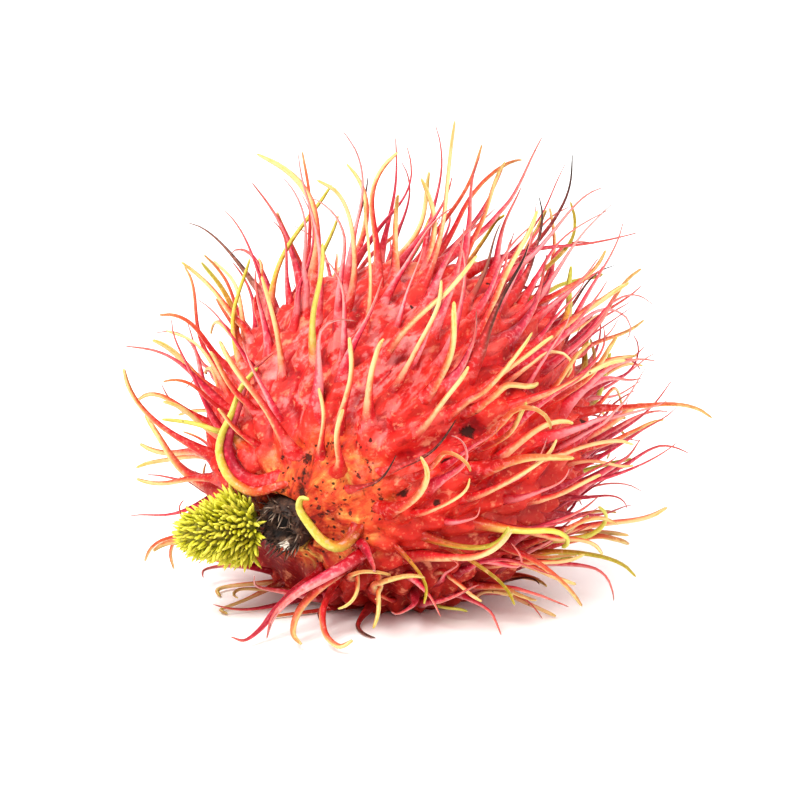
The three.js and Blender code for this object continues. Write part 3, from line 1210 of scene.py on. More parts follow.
@dataclass(frozen=True)
class Stance:
    """How a spintern leans, turns aside, bends, waves and curls. Angles are in radians.

    A spread is the width of a range. A wave has a size and a number of radians in the whole length.
    """

    least_lean: float = 0.50
    lean_spread: float = 0.75
    lean_underneath: float = 0.35
    bend_spread: float = 1.5
    more_bend_on_top: Rise = Rise(0.7, 0.5, 0.9)
    yaw_spread: float = 0.7
    far_yaw_spread: float = 1.5
    tilt_wave: tuple[float, float] = (0.17, 8)
    veer_wave: tuple[float, float] = (0.26, 7)
    wave_start: float = 6
    curl_from: float = 0.5
    curl_power: float = 1.6
    easy_up_to: float = 0.6
    easy_spread: float = 0.7
    easy_middle: float = 0.4
    easy_swing: float = 1.2
    hooked_up_to: float = 0.88
    least_hook: float = 0.6
    hook_spread: float = 0.8
    hook_swing: float = 2.2
    coil_spread: float = 1.6
    coil_swing: float = 4.2
    least_coil: float = 0.35

    def curl(self, index: int) -> tuple[float, float]:
        """Choose how far a spintern's tip curls: an easy curl, a hook back to the rind or a coil aside.

        Args:
            index: Which spintern it is.

        Returns:
            The turn away from the rind, and the turn to the side, in radians.
        """
        pick, side = scatter(index, Draw.CURL), sway(index, Draw.CURL_SIDE)
        reach = scatter(index, Draw.CURL_REACH)
        if pick < self.easy_up_to:
            return self.easy_spread * (self.easy_middle - reach), self.easy_swing * side
        if pick < self.hooked_up_to:
            return -self.least_hook - self.hook_spread * reach, self.hook_swing * side
        coil = self.coil_swing * math.copysign(self.least_coil + abs(side), side)
        return self.coil_spread * (reach - 0.5), coil

    def wave(self, index: int, draw: Draw, size: float, turns: float, shares: np.ndarray) -> np.ndarray:
        """Return a wave in an angle that grows towards the tip.

        Args:
            index: Which spintern it is.
            draw: Which draw says where the wave starts.
            size: The wave's size.
            turns: Its radians in the whole length.
            shares: The places to give it at.

        Returns:
            The angle at each place.
        """
        return size * np.sin(shares * turns + self.wave_start * scatter(index, draw)) * shares

    def angles(
        self, index: int, polar: float, normal: np.ndarray, underneath: float, shares: np.ndarray
    ) -> tuple[np.ndarray, np.ndarray]:
        """Give a spintern's angles at each of its places.

        Args:
            index: Which spintern it is.
            polar: Its angle from the stem end.
            normal: The rind's normal at its root.
            underneath: How far it is on the underside, from 0 to 1.
            shares: The places.

        Returns:
            The tilt from the normal and the veer to the side.
        """
        lean = self.least_lean + self.lean_spread * scatter(index, Draw.LEAN)
        lean = lean * math.sqrt(max(math.sin(polar), 0)) + self.lean_underneath * underneath
        bend = lean + sway(index, Draw.BEND, self.bend_spread + self.more_bend_on_top.at(normal[2]))
        yaw = sway(index, Draw.YAW, self.yaw_spread)
        far_yaw = sway(index, Draw.FAR_YAW, self.far_yaw_spread)
        curl, swing = self.curl(index)
        late = np.clip((shares - self.curl_from) / (1 - self.curl_from), 0, 1) ** self.curl_power
        tilt = lean + (bend - lean) * shares + curl * late
        tilt += self.wave(index, Draw.TILT_WAVE, *self.tilt_wave, shares)
        veer = yaw + (far_yaw - yaw) * shares + swing * late
        veer += self.wave(index, Draw.VEER_WAVE, *self.veer_wave, shares)
        return tilt, veer


@dataclass(frozen=True)
class Settling:
    """How grown spinterns make room for each other, the rind and the ground."""

    rounds: int = 8
    ease_rounds: int = 6
    first_free: int = 4
    freeing_points: int = 6
    search_reach: float = 1.3 * MM
    gap: float = 0.12 * MM
    rind_gap: float = 0.35 * MM
    pushed_out_from: float = 0.15
    ground_gap: float = 0.15 * MM
    kink: float = 0.11 * MM
    easing: float = 0.7
    eased_below: float = 2 * MM

    def settle(self, free: list[Spintern], kept: list[Spintern]) -> None:
        """Move the free spinterns apart where they touch, up off the ground and out of the rind.

        Args:
            free: The spinterns that may move.
            kept: Those that stay as they are, which the others still avoid.
        """
        lines = np.array([s.line for s in free + kept])
        radii = np.array([s.radii for s in free + kept])
        spans = np.linalg.norm(np.diff(lines, axis=1), axis=2)
        moves = np.clip((np.arange(lines.shape[1]) - (self.first_free - 1)) / self.freeing_points, 0, 1)
        movable = np.where(np.arange(len(lines))[:, None] < len(free), moves, 0)
        for _ in range(self.rounds):
            shift = self.crowding(lines, radii) * movable[..., None]
            shift[:, 1:-1] = (shift[:, :-2] + 2 * shift[:, 1:-1] + shift[:, 2:]) / 4
            lines = self.eased(lines + shift, movable, radii)
            raised = FORM.push_out(lines, radii + self.rind_gap)
            lines = np.where(movable[..., None] > self.pushed_out_from, raised, lines)
            low = np.maximum(radii + self.ground_gap - lines[..., 2], 0) * (moves > 0)
            lines[..., 2] += low
            for step in range(self.first_free, lines.shape[1]):
                link = unit(lines[:, step] - lines[:, step - 1]) * spans[:, step - 1, None]
                free_here = movable[:, step, None] > 0
                lines[:, step] = np.where(free_here, lines[:, step - 1] + link, lines[:, step])
        for _ in range(self.ease_rounds):
            lines = self.eased(lines, movable, radii)
            raised = np.maximum(lines[..., 2], radii + self.ground_gap)
            lines[..., 2] = np.where(moves > 0, raised, lines[..., 2])
        for spintern, line in zip(free, lines):
            spintern.line = line

    def eased(self, lines: np.ndarray, movable: np.ndarray, radii: np.ndarray) -> np.ndarray:
        """Take sharp kinks out of lines, and leave their gentle curls.

        Args:
            lines: The points of every spintern.
            movable: How freely each point moves, from 0 to 1.
            radii: The radius at every point.

        Returns:
            The eased points.
        """
        pull = np.zeros_like(lines)
        pull[:, 1:-1] = (lines[:, :-2] + lines[:, 2:]) / 2 - lines[:, 1:-1]
        near_ground = lines[..., 2] < radii + self.eased_below
        sharp = np.linalg.norm(pull, axis=2) > self.kink
        share = np.where(near_ground | sharp, self.easing, 0.0) * (movable > 0)
        return lines + pull * share[..., None]

    def crowding(self, lines: np.ndarray, radii: np.ndarray) -> np.ndarray:
        """Find how far each point has to move to be clear of other spinterns.

        Args:
            lines: The points of every spintern.
            radii: The radius at every point.

        Returns:
            A shift for every point.
        """
        per_line = lines.shape[1]
        points, thick = lines.reshape(-1, 3), radii.ravel()
        tree = KDTree(len(points))
        for number, point in enumerate(points):
            tree.insert(point, number)
        tree.balance()
        shift = np.zeros_like(points)
        for number, point in enumerate(points):
            if number % per_line < self.first_free:
                continue
            for _, other, gap in tree.find_range(point, self.search_reach):
                need = thick[number] + thick[other] + self.gap
                if other // per_line != number // per_line and SAME_PLACE < gap < need:
                    shift[number] += (point - points[other]) / gap * (need - gap) * 0.5
        return shift.reshape(lines.shape)


@dataclass
class Spinterns:
    """The soft spines that grow out of the rind, and the rules that they grow by."""

    count: int = 300
    polar_spread: float = 0.07
    turn_spread: float = 0.09
    least_sine: float = 0.2
    bare_angle: float = math.radians(21)
    length: float = 16.2 * MM
    length_spread: float = 0.5
    top_stretch: Rise = Rise(0.3, 0.45, 0.9)
    top_stretch_draw: float = 0.5
    far_stretch: Rise = Rise(0.12, 0.0, 0.7)
    underside: Rise = Rise(1.0, 0.25, 0.8)
    lift: Rise = Rise(0.5, 0.1, 0.85)
    lift_height: Rise = Rise(1.0, 5 * MM, 14 * MM)
    foot_depth: float = 1.6 * MM
    foot_round: float = 0.9
    extra_tries: int = 560
    extra_size: float = 0.82
    extra_gap: float = 2.2 * MM
    least_gap: float = 0.78
    more_gap_in_front: Rise = Rise(0.22, 8 * MM, 15 * MM)
    front: Rise = Rise(1.0, -9 * MM, 4 * MM)
    more_gap_on_top: Rise = Rise(0.35, 30 * MM, 38 * MM)
    steps: int = 24
    even_share: float = 0.955
    tip_shares: tuple[float, ...] = (0.985, 1.0)
    sides: int = 10
    flatness: float = 0.74
    map_margin: float = 0.05
    weld: float = 0.002 * MM
    ripening: Ripening = Ripening()
    girth: Girth = Girth()
    stance: Stance = Stance()
    settling: Settling = Settling()
    grown: list[Spintern] = field(default_factory=list)

    @cached_property
    def shares(self) -> np.ndarray:
        """Places along the free part of a spintern, closer together at the tip so that it can round off."""
        even = np.linspace(0, self.even_share, self.steps - len(self.tip_shares))
        return np.concatenate([even, self.tip_shares])

    def grow_one(self, index: int, count: int, size: float = 1.0) -> Spintern | None:
        """Grow one spintern where the solid part's rule puts it, with a curl at its tip.

        Args:
            index: Which spintern it is.
            count: How many the rule spreads over the whole rind.
            size: Its length and thickness beside the usual ones.

        Returns:
            The spintern, or None where none grows.
        """
        polar = math.acos(1 - 2 * (index + 0.5) / count) + sway(index, Draw.POLAR, self.polar_spread)
        jitter = sway(index, Draw.TURN, self.turn_spread) / max(math.sin(polar), self.least_sine)
        turn = index * GOLDEN_ANGLE + jitter
        if polar < self.bare_angle:
            return None
        direction = (math.sin(polar) * math.cos(turn), math.sin(polar) * math.sin(turn), math.cos(polar))
        root, normal = FORM.at(np.array(direction))
        if root[2] < FORM.flat_spot_depth:
            return None

        stem = FORM.axes[2]
        outward = unit(np.array([root[0], root[1], 0]))
        underneath = self.underside.at(-normal[2])
        away = unit(-stem + normal * (stem @ normal)) * (1 - underneath) + outward * underneath
        away = unit(away - normal * (away @ normal))
        tilt, veer = self.stance.angles(index, polar, normal, underneath, self.shares)
        upright = np.cos(tilt)[:, None] * normal + np.sin(tilt)[:, None] * away
        heading = np.cos(veer)[:, None] * upright + np.sin(veer)[:, None] * np.cross(normal, away)
        lift = self.lift.at(max(normal[2], -normal[1])) * self.lift_height.at(root[2]) * self.shares
        heading = unit(heading + lift[:, None] * np.array([0, 0, 1]))

        length = self.length * size * (1 + sway(index, Draw.LENGTH, self.length_spread))
        if scatter(index, Draw.STRETCH) > self.top_stretch_draw:
            length *= 1 + self.top_stretch.at(normal[2])
        length *= 1 + self.far_stretch.at(-normal @ stem)
        steps = np.diff(self.shares)[:, None] * (heading[1:] + heading[:-1]) / 2 * length
        line = root + np.vstack([np.zeros(3), np.cumsum(steps, axis=0)])
        kind = self.ripening.kind(index, root)
        radii = self.girth.radii(kind, index, self.shares) * size
        return self.footed(kind, line, normal, radii, scatter(index, Draw.TONE))

    def footed(
        self, kind: SpinternKind, line: np.ndarray, normal: np.ndarray, radii: np.ndarray, tone: float
    ) -> Spintern:
        """Give a spintern its buried foot.

        Args:
            kind: How it has ripened.
            line: Its points from the root to the tip.
            normal: The rind's normal at the root.
            radii: Its radius at each point.
            tone: Its own shade, from 0 to 1.

        Returns:
            The whole spintern.
        """
        deepest = normal * self.foot_depth
        buried = [line[0] - deepest, line[0] - deepest * self.foot_round]
        return Spintern(kind, np.vstack([buried, line]), np.concatenate([[0, radii[0]], radii]), tone)

    def beside_stalk(self) -> list[Spintern]:
        """Lay the strands beside and under the stalk."""
        made = []
        for strand in STRANDS:
            line = strand.line(self.shares)
            _, normal = FORM.at(unit(FORM.local(line[0])))
            made.append(self.footed(strand.kind, line, normal, strand.radii(self.shares), strand.tone))
        return made

    def gap_at(self, root: np.ndarray) -> float:
        """Return how far an extra spintern's root has to be from the others' roots."""
        in_front = self.more_gap_in_front.at(root[2]) * self.front.at((root - FORM.middle) @ FORM.axes[2])
        return self.extra_gap * (self.least_gap + in_front + self.more_gap_on_top.at(root[2]))

    def grow(self) -> None:
        """Grow every spintern, and let them settle round each other, the rind and the ground."""
        kept = self.beside_stalk()
        free = [s for s in (self.grow_one(i, self.count) for i in range(self.count)) if s]
        roots = [s.root for s in kept + free]
        for index in range(self.extra_tries):
            slim = self.grow_one(index, self.extra_tries, self.extra_size)
            if slim and np.linalg.norm(np.array(roots) - slim.root, axis=1).min() > self.gap_at(slim.root):
                free.append(slim)
                roots.append(slim.root)
        fruitlet = Fruitlet()
        free = [s for s in free if fruitlet.clears(s.line)]
        self.settling.settle(free, kept)
        self.grown = kept + free

    def guides(self, chosen: list[Spintern]) -> bpy.types.Mesh:
        """Make the middle lines of some spinterns, which the sweep follows.

        Args:
            chosen: The spinterns.

        Returns:
            A mesh of edges, carrying each point's radius, share, tone and cell.
        """
        along = np.concatenate([[0, 0], self.shares])
        count = len(along)
        points = np.vstack([spintern.line for spintern in chosen])
        edges = [(step, step + 1) for step in range(len(points) - 1) if (step + 1) % count]
        return plain_mesh(
            "spintern_lines",
            points,
            edges,
            [],
            thick=np.concatenate([spintern.radii for spintern in chosen]),
            share=np.tile(along, len(chosen)),
            tone=np.repeat([spintern.tone for spintern in chosen], count),
            cell=np.repeat(range(len(chosen)), count),
        )

    def sweep(self) -> ShapeGraph:
        """Build the tree that sweeps a slightly flattened section along every middle line.

        Returns:
            The tree. Each swept spintern gets its own square of the surface map.
        """
        graph = ShapeGraph("spintern_sweep")
        (sides,) = graph.inputs("Int", "Sides")
        flatness, squares = graph.inputs("Float", "Flatness", "Squares")
        (finish,) = graph.inputs("Material", "Finish")
        curve = graph.out("GeometryNodeMeshToCurve", {"Mesh": graph.source.outputs[0]})
        turn = graph.times(graph.named("tone"), math.pi)
        curve = graph.out("GeometryNodeSetCurveTilt", {"Curve": curve, "Tilt": turn})
        arc = {"Resolution": graph.math("ADD", sides, 1.0), "Radius": 1.0, "Sweep Angle": FULL_TURN}
        section = graph.out("GeometryNodeCurveArc", arc, mode="RADIUS")
        section = graph.store(section, "around", graph.out("GeometryNodeSplineParameter"))
        squash = graph.xyz(1.0, flatness, 1.0)
        section = graph.out("GeometryNodeTransform", {"Geometry": section, "Scale": squash})
        inputs = {"Curve": curve, "Profile Curve": section, "Scale": graph.named("thick")}
        swept = graph.out("GeometryNodeCurveToMesh", inputs)

        share, around, cell = (graph.named(name) for name in ("share", "around", "cell"))
        row = graph.math("FLOOR", graph.math("DIVIDE", cell, squares))
        column = graph.math("SUBTRACT", cell, graph.times(row, squares))
        places = []
        for corner, value in ((column, share), (row, around)):
            inside = graph.raised(self.map_margin, value, 1 - 2 * self.map_margin)
            places.append(graph.math("DIVIDE", graph.math("ADD", corner, inside), squares))
        mapped = graph.store(swept, "OFBake", graph.xyz(*places), "FLOAT2", "CORNER")
        facing = graph.math("COSINE", graph.times(around, FULL_TURN))
        mapped = graph.store(mapped, "side", graph.raised(0.5, facing, 0.5))
        closed = graph.out("GeometryNodeMergeByDistance", {"Geometry": mapped, "Distance": self.weld})
        graph.finish(graph.pressed_flat(closed), finish)
        return graph

    def build(self) -> None:
        """Make one piece for each kind of spintern."""
        graph = self.sweep()
        for finish in SPINTERN_FINISHES:
            chosen = [s for s in self.grown if s.kind is finish.kind]
            values = {
                "Sides": self.sides,
                "Flatness": self.flatness,
                "Squares": float(math.ceil(math.sqrt(len(chosen)))),
                "Finish": finish.material(),
            }
            piece = graph.make(finish.kind.value, self.guides(chosen), values)
            outwards(piece.data)
            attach(piece, "root")
            LOG.info("%s: %d spinterns, %d faces", piece.name, len(chosen), len(piece.data.polygons))


# ---- Rind ----


@dataclass
class Rind:
    """The skin of the fruit, raised in a low leaning bump under every spintern."""

    spinterns: Spinterns
    subdivisions: int = 7
    bump_height: float = 2.3 * MM
    bump_reach: float = 3.2 * MM
    bump_points: int = 6
    bump_tail: float = 2.4 * MM
    bump_sink: float = 0.3
    lean_point: int = 6
    ripple: float = 0.55 * MM
    drawn_out: float = 0.55
    cork_centre: Point = (-7.0 * MM, -19.0 * MM, 16.5 * MM)
    cork_reach: float = 9.0 * MM
    cork_wander: float = 5 * MM
    socket_radius: float = 3.4 * MM
    socket_depth: float = 1.4 * MM
    socket_wander: float = 1.4 * MM
    lip_height: float = 0.6 * MM

    def stubs(self) -> bpy.types.Object:
        """Make the first stretch of every spintern's middle line, which the bumps are raised along."""
        points, edges = [], []
        for spintern in self.spinterns.grown:
            first = len(points)
            root = spintern.root
            _, normal = FORM.at(unit(FORM.local(root)))
            lean = spintern.line[self.lean_point] - root
            tail = root - unit(lean - normal * (lean @ normal)) * self.bump_tail
            stub = spintern.line[FOOT_POINTS : FOOT_POINTS + self.bump_points]
            points.extend([tail - normal * self.bump_sink * self.bump_tail, *stub])
            edges.extend((first + step, first + step + 1) for step in range(self.bump_points))
        return placed("bump_lines", plain_mesh("bump_lines", np.array(points), edges, []))

    def shape(self) -> ShapeGraph:
        """Build the tree that stretches a ball to the rind, raises its bumps and sinks the stalk's socket."""
        graph = ShapeGraph("rind_shape")
        (subdivisions,) = graph.inputs("Int", "Subdivisions")
        (lines,) = graph.inputs("Object", "Bump lines")
        (finish,) = graph.inputs("Material", "Finish")
        halves, turn, middle, cork_centre, stem_end, stem_axis = graph.inputs(
            "Vector", "Half sizes", "Turn", "Middle", "Cork centre", "Stem end", "Stem axis"
        )
        swell, height, reach, ripple, cork_reach = graph.inputs(
            "Float", "Stem end swell", "Bump height", "Bump reach", "Ripple", "Cork reach"
        )
        socket, depth, lip = graph.inputs("Float", "Socket radius", "Socket depth", "Lip height")

        inputs = {"Radius": 1.0, "Subdivisions": subdivisions}
        ball = graph.out("GeometryNodeMeshIcoSphere", inputs)
        place = graph.out("GeometryNodeInputPosition")
        fatter = graph.raised(1.0, graph.split(place)[2], swell)
        stretched = graph.vector("MULTIPLY", place, halves)
        stretched = graph.vector("MULTIPLY", stretched, graph.xyz(fatter, fatter, 1.0))
        inputs = {"Vector": stretched, "Rotation": turn}
        turned = graph.out("ShaderNodeVectorRotate", inputs, rotation_type="EULER_XYZ")
        egg = graph.moved(ball, Position=graph.vector("ADD", turned, middle))

        # The ring is 1 at the edge of the socket round the stalk, and far more than 1 at the other end.
        rise, flat = graph.about(place, stem_end, stem_axis)
        near_stem = graph.math("GREATER_THAN", rise, -8 * MM)
        clouds = graph.noise(place, scale=420, detail=3)
        ragged = graph.raised(-self.socket_wander / 2, clouds, self.socket_wander)
        ring = graph.math("DIVIDE", graph.math("ADD", graph.vector("LENGTH", flat), ragged), socket)
        ring = graph.math("ADD", ring, graph.times(graph.math("SUBTRACT", 1.0, near_stem), 9.0))
        sunk = graph.remap(ring, 1.08, 0.82)
        raised = graph.times(graph.remap(ring, 1.75, 1.15), graph.remap(ring, 0.95, 1.12))

        clouds = graph.noise(place, scale=300, detail=3)
        wander = graph.raised(-self.cork_wander / 2, clouds, self.cork_wander)
        to_cork = graph.math("ADD", graph.vector("DISTANCE", place, cork_centre), wander)
        cork = graph.remap(graph.math("DIVIDE", to_cork, cork_reach), 1.05, 0.55)
        cork = graph.most(cork, graph.remap(ring, 2.1, 1.5))
        nearest = graph.add("GeometryNodeProximity", {0: graph.shape_of(lines)}, target_element="EDGES")
        away = graph.math("DIVIDE", nearest.outputs["Distance"], reach)
        crest = graph.math("POWER", graph.math("SUBTRACT", 1.0, away, clamp=True), 2.0)
        carried = egg
        for name, value in (("crest", crest), ("cork", cork), ("sunk", sunk), ("lip", raised)):
            carried = graph.store(carried, name, value)

        crest, cork, sunk, raised = (graph.named(name) for name in ("crest", "cork", "sunk", "lip"))
        waves = graph.noise(graph.drawn_out(place, stem_axis, self.drawn_out), scale=240, detail=2)
        waves = graph.math("SUBTRACT", waves, 0.5)
        crags = graph.math("SUBTRACT", graph.noise(place, scale=700, detail=4, roughness=0.6), 0.5)
        crags = graph.times(crags, graph.raised(0.22, cork, 2.0))
        total = graph.times(graph.times(crest, graph.raised(1.0, cork, -0.45)), height)
        total = graph.raised(total, waves, graph.times(ripple, 1.6))
        total = graph.raised(total, crags, graph.times(ripple, 0.75))
        total = graph.raised(total, raised, lip)
        normal = graph.out("GeometryNodeInputNormal")
        grown = graph.moved(carried, Offset=graph.vector("SCALE", normal, scale=total))
        down = graph.times(graph.times(sunk, depth), -1.0)
        grown = graph.moved(grown, Offset=graph.vector("SCALE", stem_axis, scale=down))
        graph.finish(graph.pressed_flat(grown), finish)
        return graph

    def build(self) -> None:
        """Make the rind, which stands for the solid fruit."""
        lines = self.stubs()
        values = {
            "Subdivisions": self.subdivisions,
            "Half sizes": tuple(FORM.halves),
            "Stem end swell": FORM.stem_end_swell,
            "Turn": tuple(Matrix(FORM.axes.T.tolist()).to_euler("XYZ")),
            "Middle": tuple(FORM.middle),
            "Bump lines": lines,
            "Bump height": self.bump_height,
            "Bump reach": self.bump_reach,
            "Ripple": self.ripple,
            "Cork centre": self.cork_centre,
            "Cork reach": self.cork_reach,
            "Stem end": tuple(FORM.stem_end),
            "Stem axis": STEM,
            "Socket radius": self.socket_radius,
            "Socket depth": self.socket_depth,
            "Lip height": self.lip_height,
            "Finish": RindFinish().material(),
        }
        piece = self.shape().make("rind", plain_mesh("rind_start", np.zeros((0, 3)), [], []), values)
        bpy.data.meshes.remove(lines.data)
        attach(piece, "root")
        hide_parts("fruit")
        LOG.info("%s: %d faces", piece.name, len(piece.data.polygons))


# ---- Stalk end and undeveloped fruitlet ----


@dataclass
class Tufts:
    """Short bristles or fibres stood all over a skin, each a small bent cone."""

    bristle_length: float
    bristle_radius: float
    spacing: float
    axis: np.ndarray
    lean_near: float
    lean_far: float
    seed: int
    keep_low: float = 0.0
    keep_high: float = 1.0
    shrink: float = 0.0
    fullness: float = 1.6
    sides: int = 6
    rings: int = 5
    bow: float = 0.16
    root_depth: float = 0.15
    lean_spread: float = 0.28
    least_size: float = 0.72
    greatest_size: float = 1.18

    def bristle(self) -> bpy.types.Object:
        """Make the one bristle that is repeated, upright and bent a little at its tip."""
        points, shares, faces = [], [], []
        for rise in np.linspace(0, 1, self.rings)[:-1]:
            radius = self.bristle_radius * (1 - rise**self.fullness) ** 0.8
            bow = self.bow * self.bristle_length * rise**2
            height = rise * self.bristle_length
            for turn in np.linspace(0, FULL_TURN, self.sides, endpoint=False):
                points.append((radius * math.cos(turn) + bow, radius * math.sin(turn), height))
                shares.append(rise)
        points.append((self.bow * self.bristle_length, 0, self.bristle_length))
        shares.append(1.0)
        for ring in range(self.rings - 2):
            for side in range(self.sides):
                low, after = ring * self.sides, (side + 1) % self.sides
                faces.append((low + side, low + after, low + self.sides + after, low + self.sides + side))
        top = (self.rings - 2) * self.sides
        for side in range(self.sides):
            faces.append((top + side, top + (side + 1) % self.sides, len(points) - 1))
        faces.append(tuple(reversed(range(self.sides))))
        return placed("bristle", plain_mesh("bristle", np.array(points), [], faces, rise=shares))

    def tree(self) -> ShapeGraph:
        """Build the tree that stands the bristles on the skin it starts from."""
        graph = ShapeGraph("tufts")
        (bristle,) = graph.inputs("Object", "Bristle")
        (axis,) = graph.inputs("Vector", "Axis")
        (seed,) = graph.inputs("Int", "Seed")
        (finish,) = graph.inputs("Material", "Finish")
        spacing, low, high, sunk = graph.inputs("Float", "Spacing", "From", "To", "Root depth")
        near, far, shrink = graph.inputs("Float", "Lean at the foot", "Lean at the tip", "Shrink at the tip")
        skin = graph.store(graph.source.outputs[0], "rise", 0.0)
        share = graph.named("share")
        inside = graph.times(graph.math("GREATER_THAN", share, low), graph.math("LESS_THAN", share, high))
        density = graph.math("DIVIDE", 3.0, graph.times(spacing, spacing))
        inputs = {"Mesh": skin, "Distance Min": spacing, "Density Max": density, "Density Factor": inside}
        spots = graph.add(
            "GeometryNodeDistributePointsOnFaces", {**inputs, "Seed": seed}, distribute_method="POISSON"
        )
        inputs = {"Value": share, "From Min": low, "From Max": high, "To Min": near, "To Max": far}
        lean = graph.out("ShaderNodeMapRange", inputs)
        lean = graph.math("ADD", lean, graph.random(-self.lean_spread, self.lean_spread, seed))
        heading = graph.vector(
            "ADD",
            graph.vector("SCALE", spots.outputs["Normal"], scale=graph.math("COSINE", lean)),
            graph.vector("SCALE", axis, scale=graph.math("SINE", lean)),
        )
        stood = graph.out("FunctionNodeAlignRotationToVector", {"Vector": heading}, axis="Z")
        inputs = {"Rotation": stood, "Rotate By": graph.xyz(z=graph.random(-3.0, 3.0, 3))}
        stood = graph.out("FunctionNodeRotateRotation", inputs, rotation_space="LOCAL")
        shorter = graph.raised(1.15, graph.times(share, shrink), -1.0)
        size = graph.times(graph.random(self.least_size, self.greatest_size, 5), shorter)
        down = graph.vector("SCALE", heading, scale=graph.times(sunk, -1.0))
        rooted = graph.moved(spots.outputs["Points"], Offset=down)
        inputs = {"Points": rooted, "Instance": graph.shape_of(bristle), "Rotation": stood}
        stand = graph.out("GeometryNodeInstanceOnPoints", {**inputs, "Scale": graph.xyz(size, size, size)})
        stand = graph.store(stand, "tone", graph.random(0.0, 1.0, 7), domain="INSTANCE")
        joined = graph.add("GeometryNodeJoinGeometry")
        graph.feed(joined.inputs[0], skin)
        graph.feed(joined.inputs[0], stand)
        graph.finish(joined.outputs[0], finish)
        return graph

    def cover(self, name: str, skin: bpy.types.Mesh, finish: bpy.types.Material) -> bpy.types.Object:
        """Cover a skin with bristles.

        Args:
            name: The piece's name.
            skin: The skin's mesh, which carries "share".
            finish: The piece's material.

        Returns:
            The piece.
        """
        bristle = self.bristle()
        values = {
            "Bristle": bristle,
            "Spacing": self.spacing,
            "Axis": tuple(self.axis),
            "Lean at the foot": self.lean_near,
            "Lean at the tip": self.lean_far,
            "From": self.keep_low,
            "To": self.keep_high,
            "Root depth": self.root_depth * self.bristle_length,
            "Shrink at the tip": self.shrink,
            "Seed": self.seed,
            "Finish": finish,
        }
        piece = self.tree().make(name, skin, values)
        bpy.data.meshes.remove(bristle.data)
        return piece


@dataclass(frozen=True)
class Groove:
    """A wave round the stalk: its size, how often it repeats, where it starts and how it wobbles."""

    size: float
    count: int
    start: float = 0.0
    wobble: float = 0.0
    wobble_count: int = 0

    def at(self, turn: np.ndarray) -> np.ndarray:
        """Return the wave's height at some turns round the stalk."""
        wobble = self.wobble * np.sin(self.wobble_count * turn)
        return self.size * np.sin(self.count * turn + self.start + wobble)


@dataclass
class StalkEnd:
    """The broken end of the stalk: a ragged ring of dried bark with a dark hollow middle."""

    radius: float = 3.2 * MM
    height: float = 2.0 * MM
    sides: int = 72
    rings: int = 40
    rib_depth: float = 0.13 * MM
    rim_depth: float = 0.9 * MM
    seed: int = 4
    profile: tuple[tuple[float, float], ...] = (
        (0, -0.95), (0.6, -0.9), (0.98, -0.5), (1.03, 0.05), (0.98, 0.45), (0.96, 0.75), (0.86, 0.97),
        (0.72, 0.98), (0.58, 0.78), (0.48, 0.4), (0.38, 0.02), (0.18, -0.08), (0, -0.05),
    )
    ribs: tuple[Groove, ...] = (
        Groove(0.5, 17, wobble=2.2, wobble_count=3),
        Groove(0.3, 31, wobble=5, wobble_count=2),
    )
    rim: tuple[Groove, ...] = (Groove(0.30, 5, 1.3), Groove(0.22, 9), Groove(0.2, 23, 2))

    def skin(self) -> bpy.types.Mesh:
        """Turn the ring and roughen it with ribs and a ragged rim."""
        r, h = self.radius, self.height
        knots = [(reach * r, height * h) for reach, height in self.profile]
        steps = np.linspace(0, len(knots) - 1, self.rings)
        reaches, heights = (np.interp(steps, range(len(knots)), values) for values in zip(*knots))
        outline = list(zip(reaches.tolist(), heights.tolist()))
        axis, foot = FORM.axes[2], FORM.stem_end
        mesh = lathe("stalk_end", outline, foot, axis, self.sides)
        points = np.array([v.co for v in mesh.vertices])
        rise = (points - foot) @ axis
        flat = points - foot - rise[:, None] * axis
        reach = np.linalg.norm(flat, axis=1)
        turn = np.arctan2(flat @ np.cross(axis, FORM.axes[0]), flat @ FORM.axes[0])
        rib, ragged = (sum(groove.at(turn) for groove in grooves) for grooves in (self.ribs, self.rim))
        points = points + unit(flat) * (rib * self.rib_depth * smooth(reach, 0.3 * r, 0.7 * r))[:, None]
        points = points + axis * (ragged * self.rim_depth * smooth(rise, 0.25 * h, h))[:, None]
        mesh.vertices.foreach_set("co", points.astype(np.float32).ravel())
        mesh.update()
        return mesh

    def build(self) -> None:
        """Make the stalk end, which stands for its solid."""
        fibres = Tufts(
            bristle_length=1.7 * MM,
            bristle_radius=0.12 * MM,
            spacing=0.5 * MM,
            axis=FORM.axes[2],
            lean_near=0.6,
            lean_far=1.1,
            seed=self.seed,
            keep_low=0.36,
            keep_high=0.66,
            sides=4,
            rings=4,
        )
        piece = fibres.cover("stalk_end_bark", self.skin(), StalkFinish().material())
        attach(piece, "root")
        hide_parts("stalk_end")
        LOG.info("%s: %d faces", piece.name, len(piece.data.polygons))


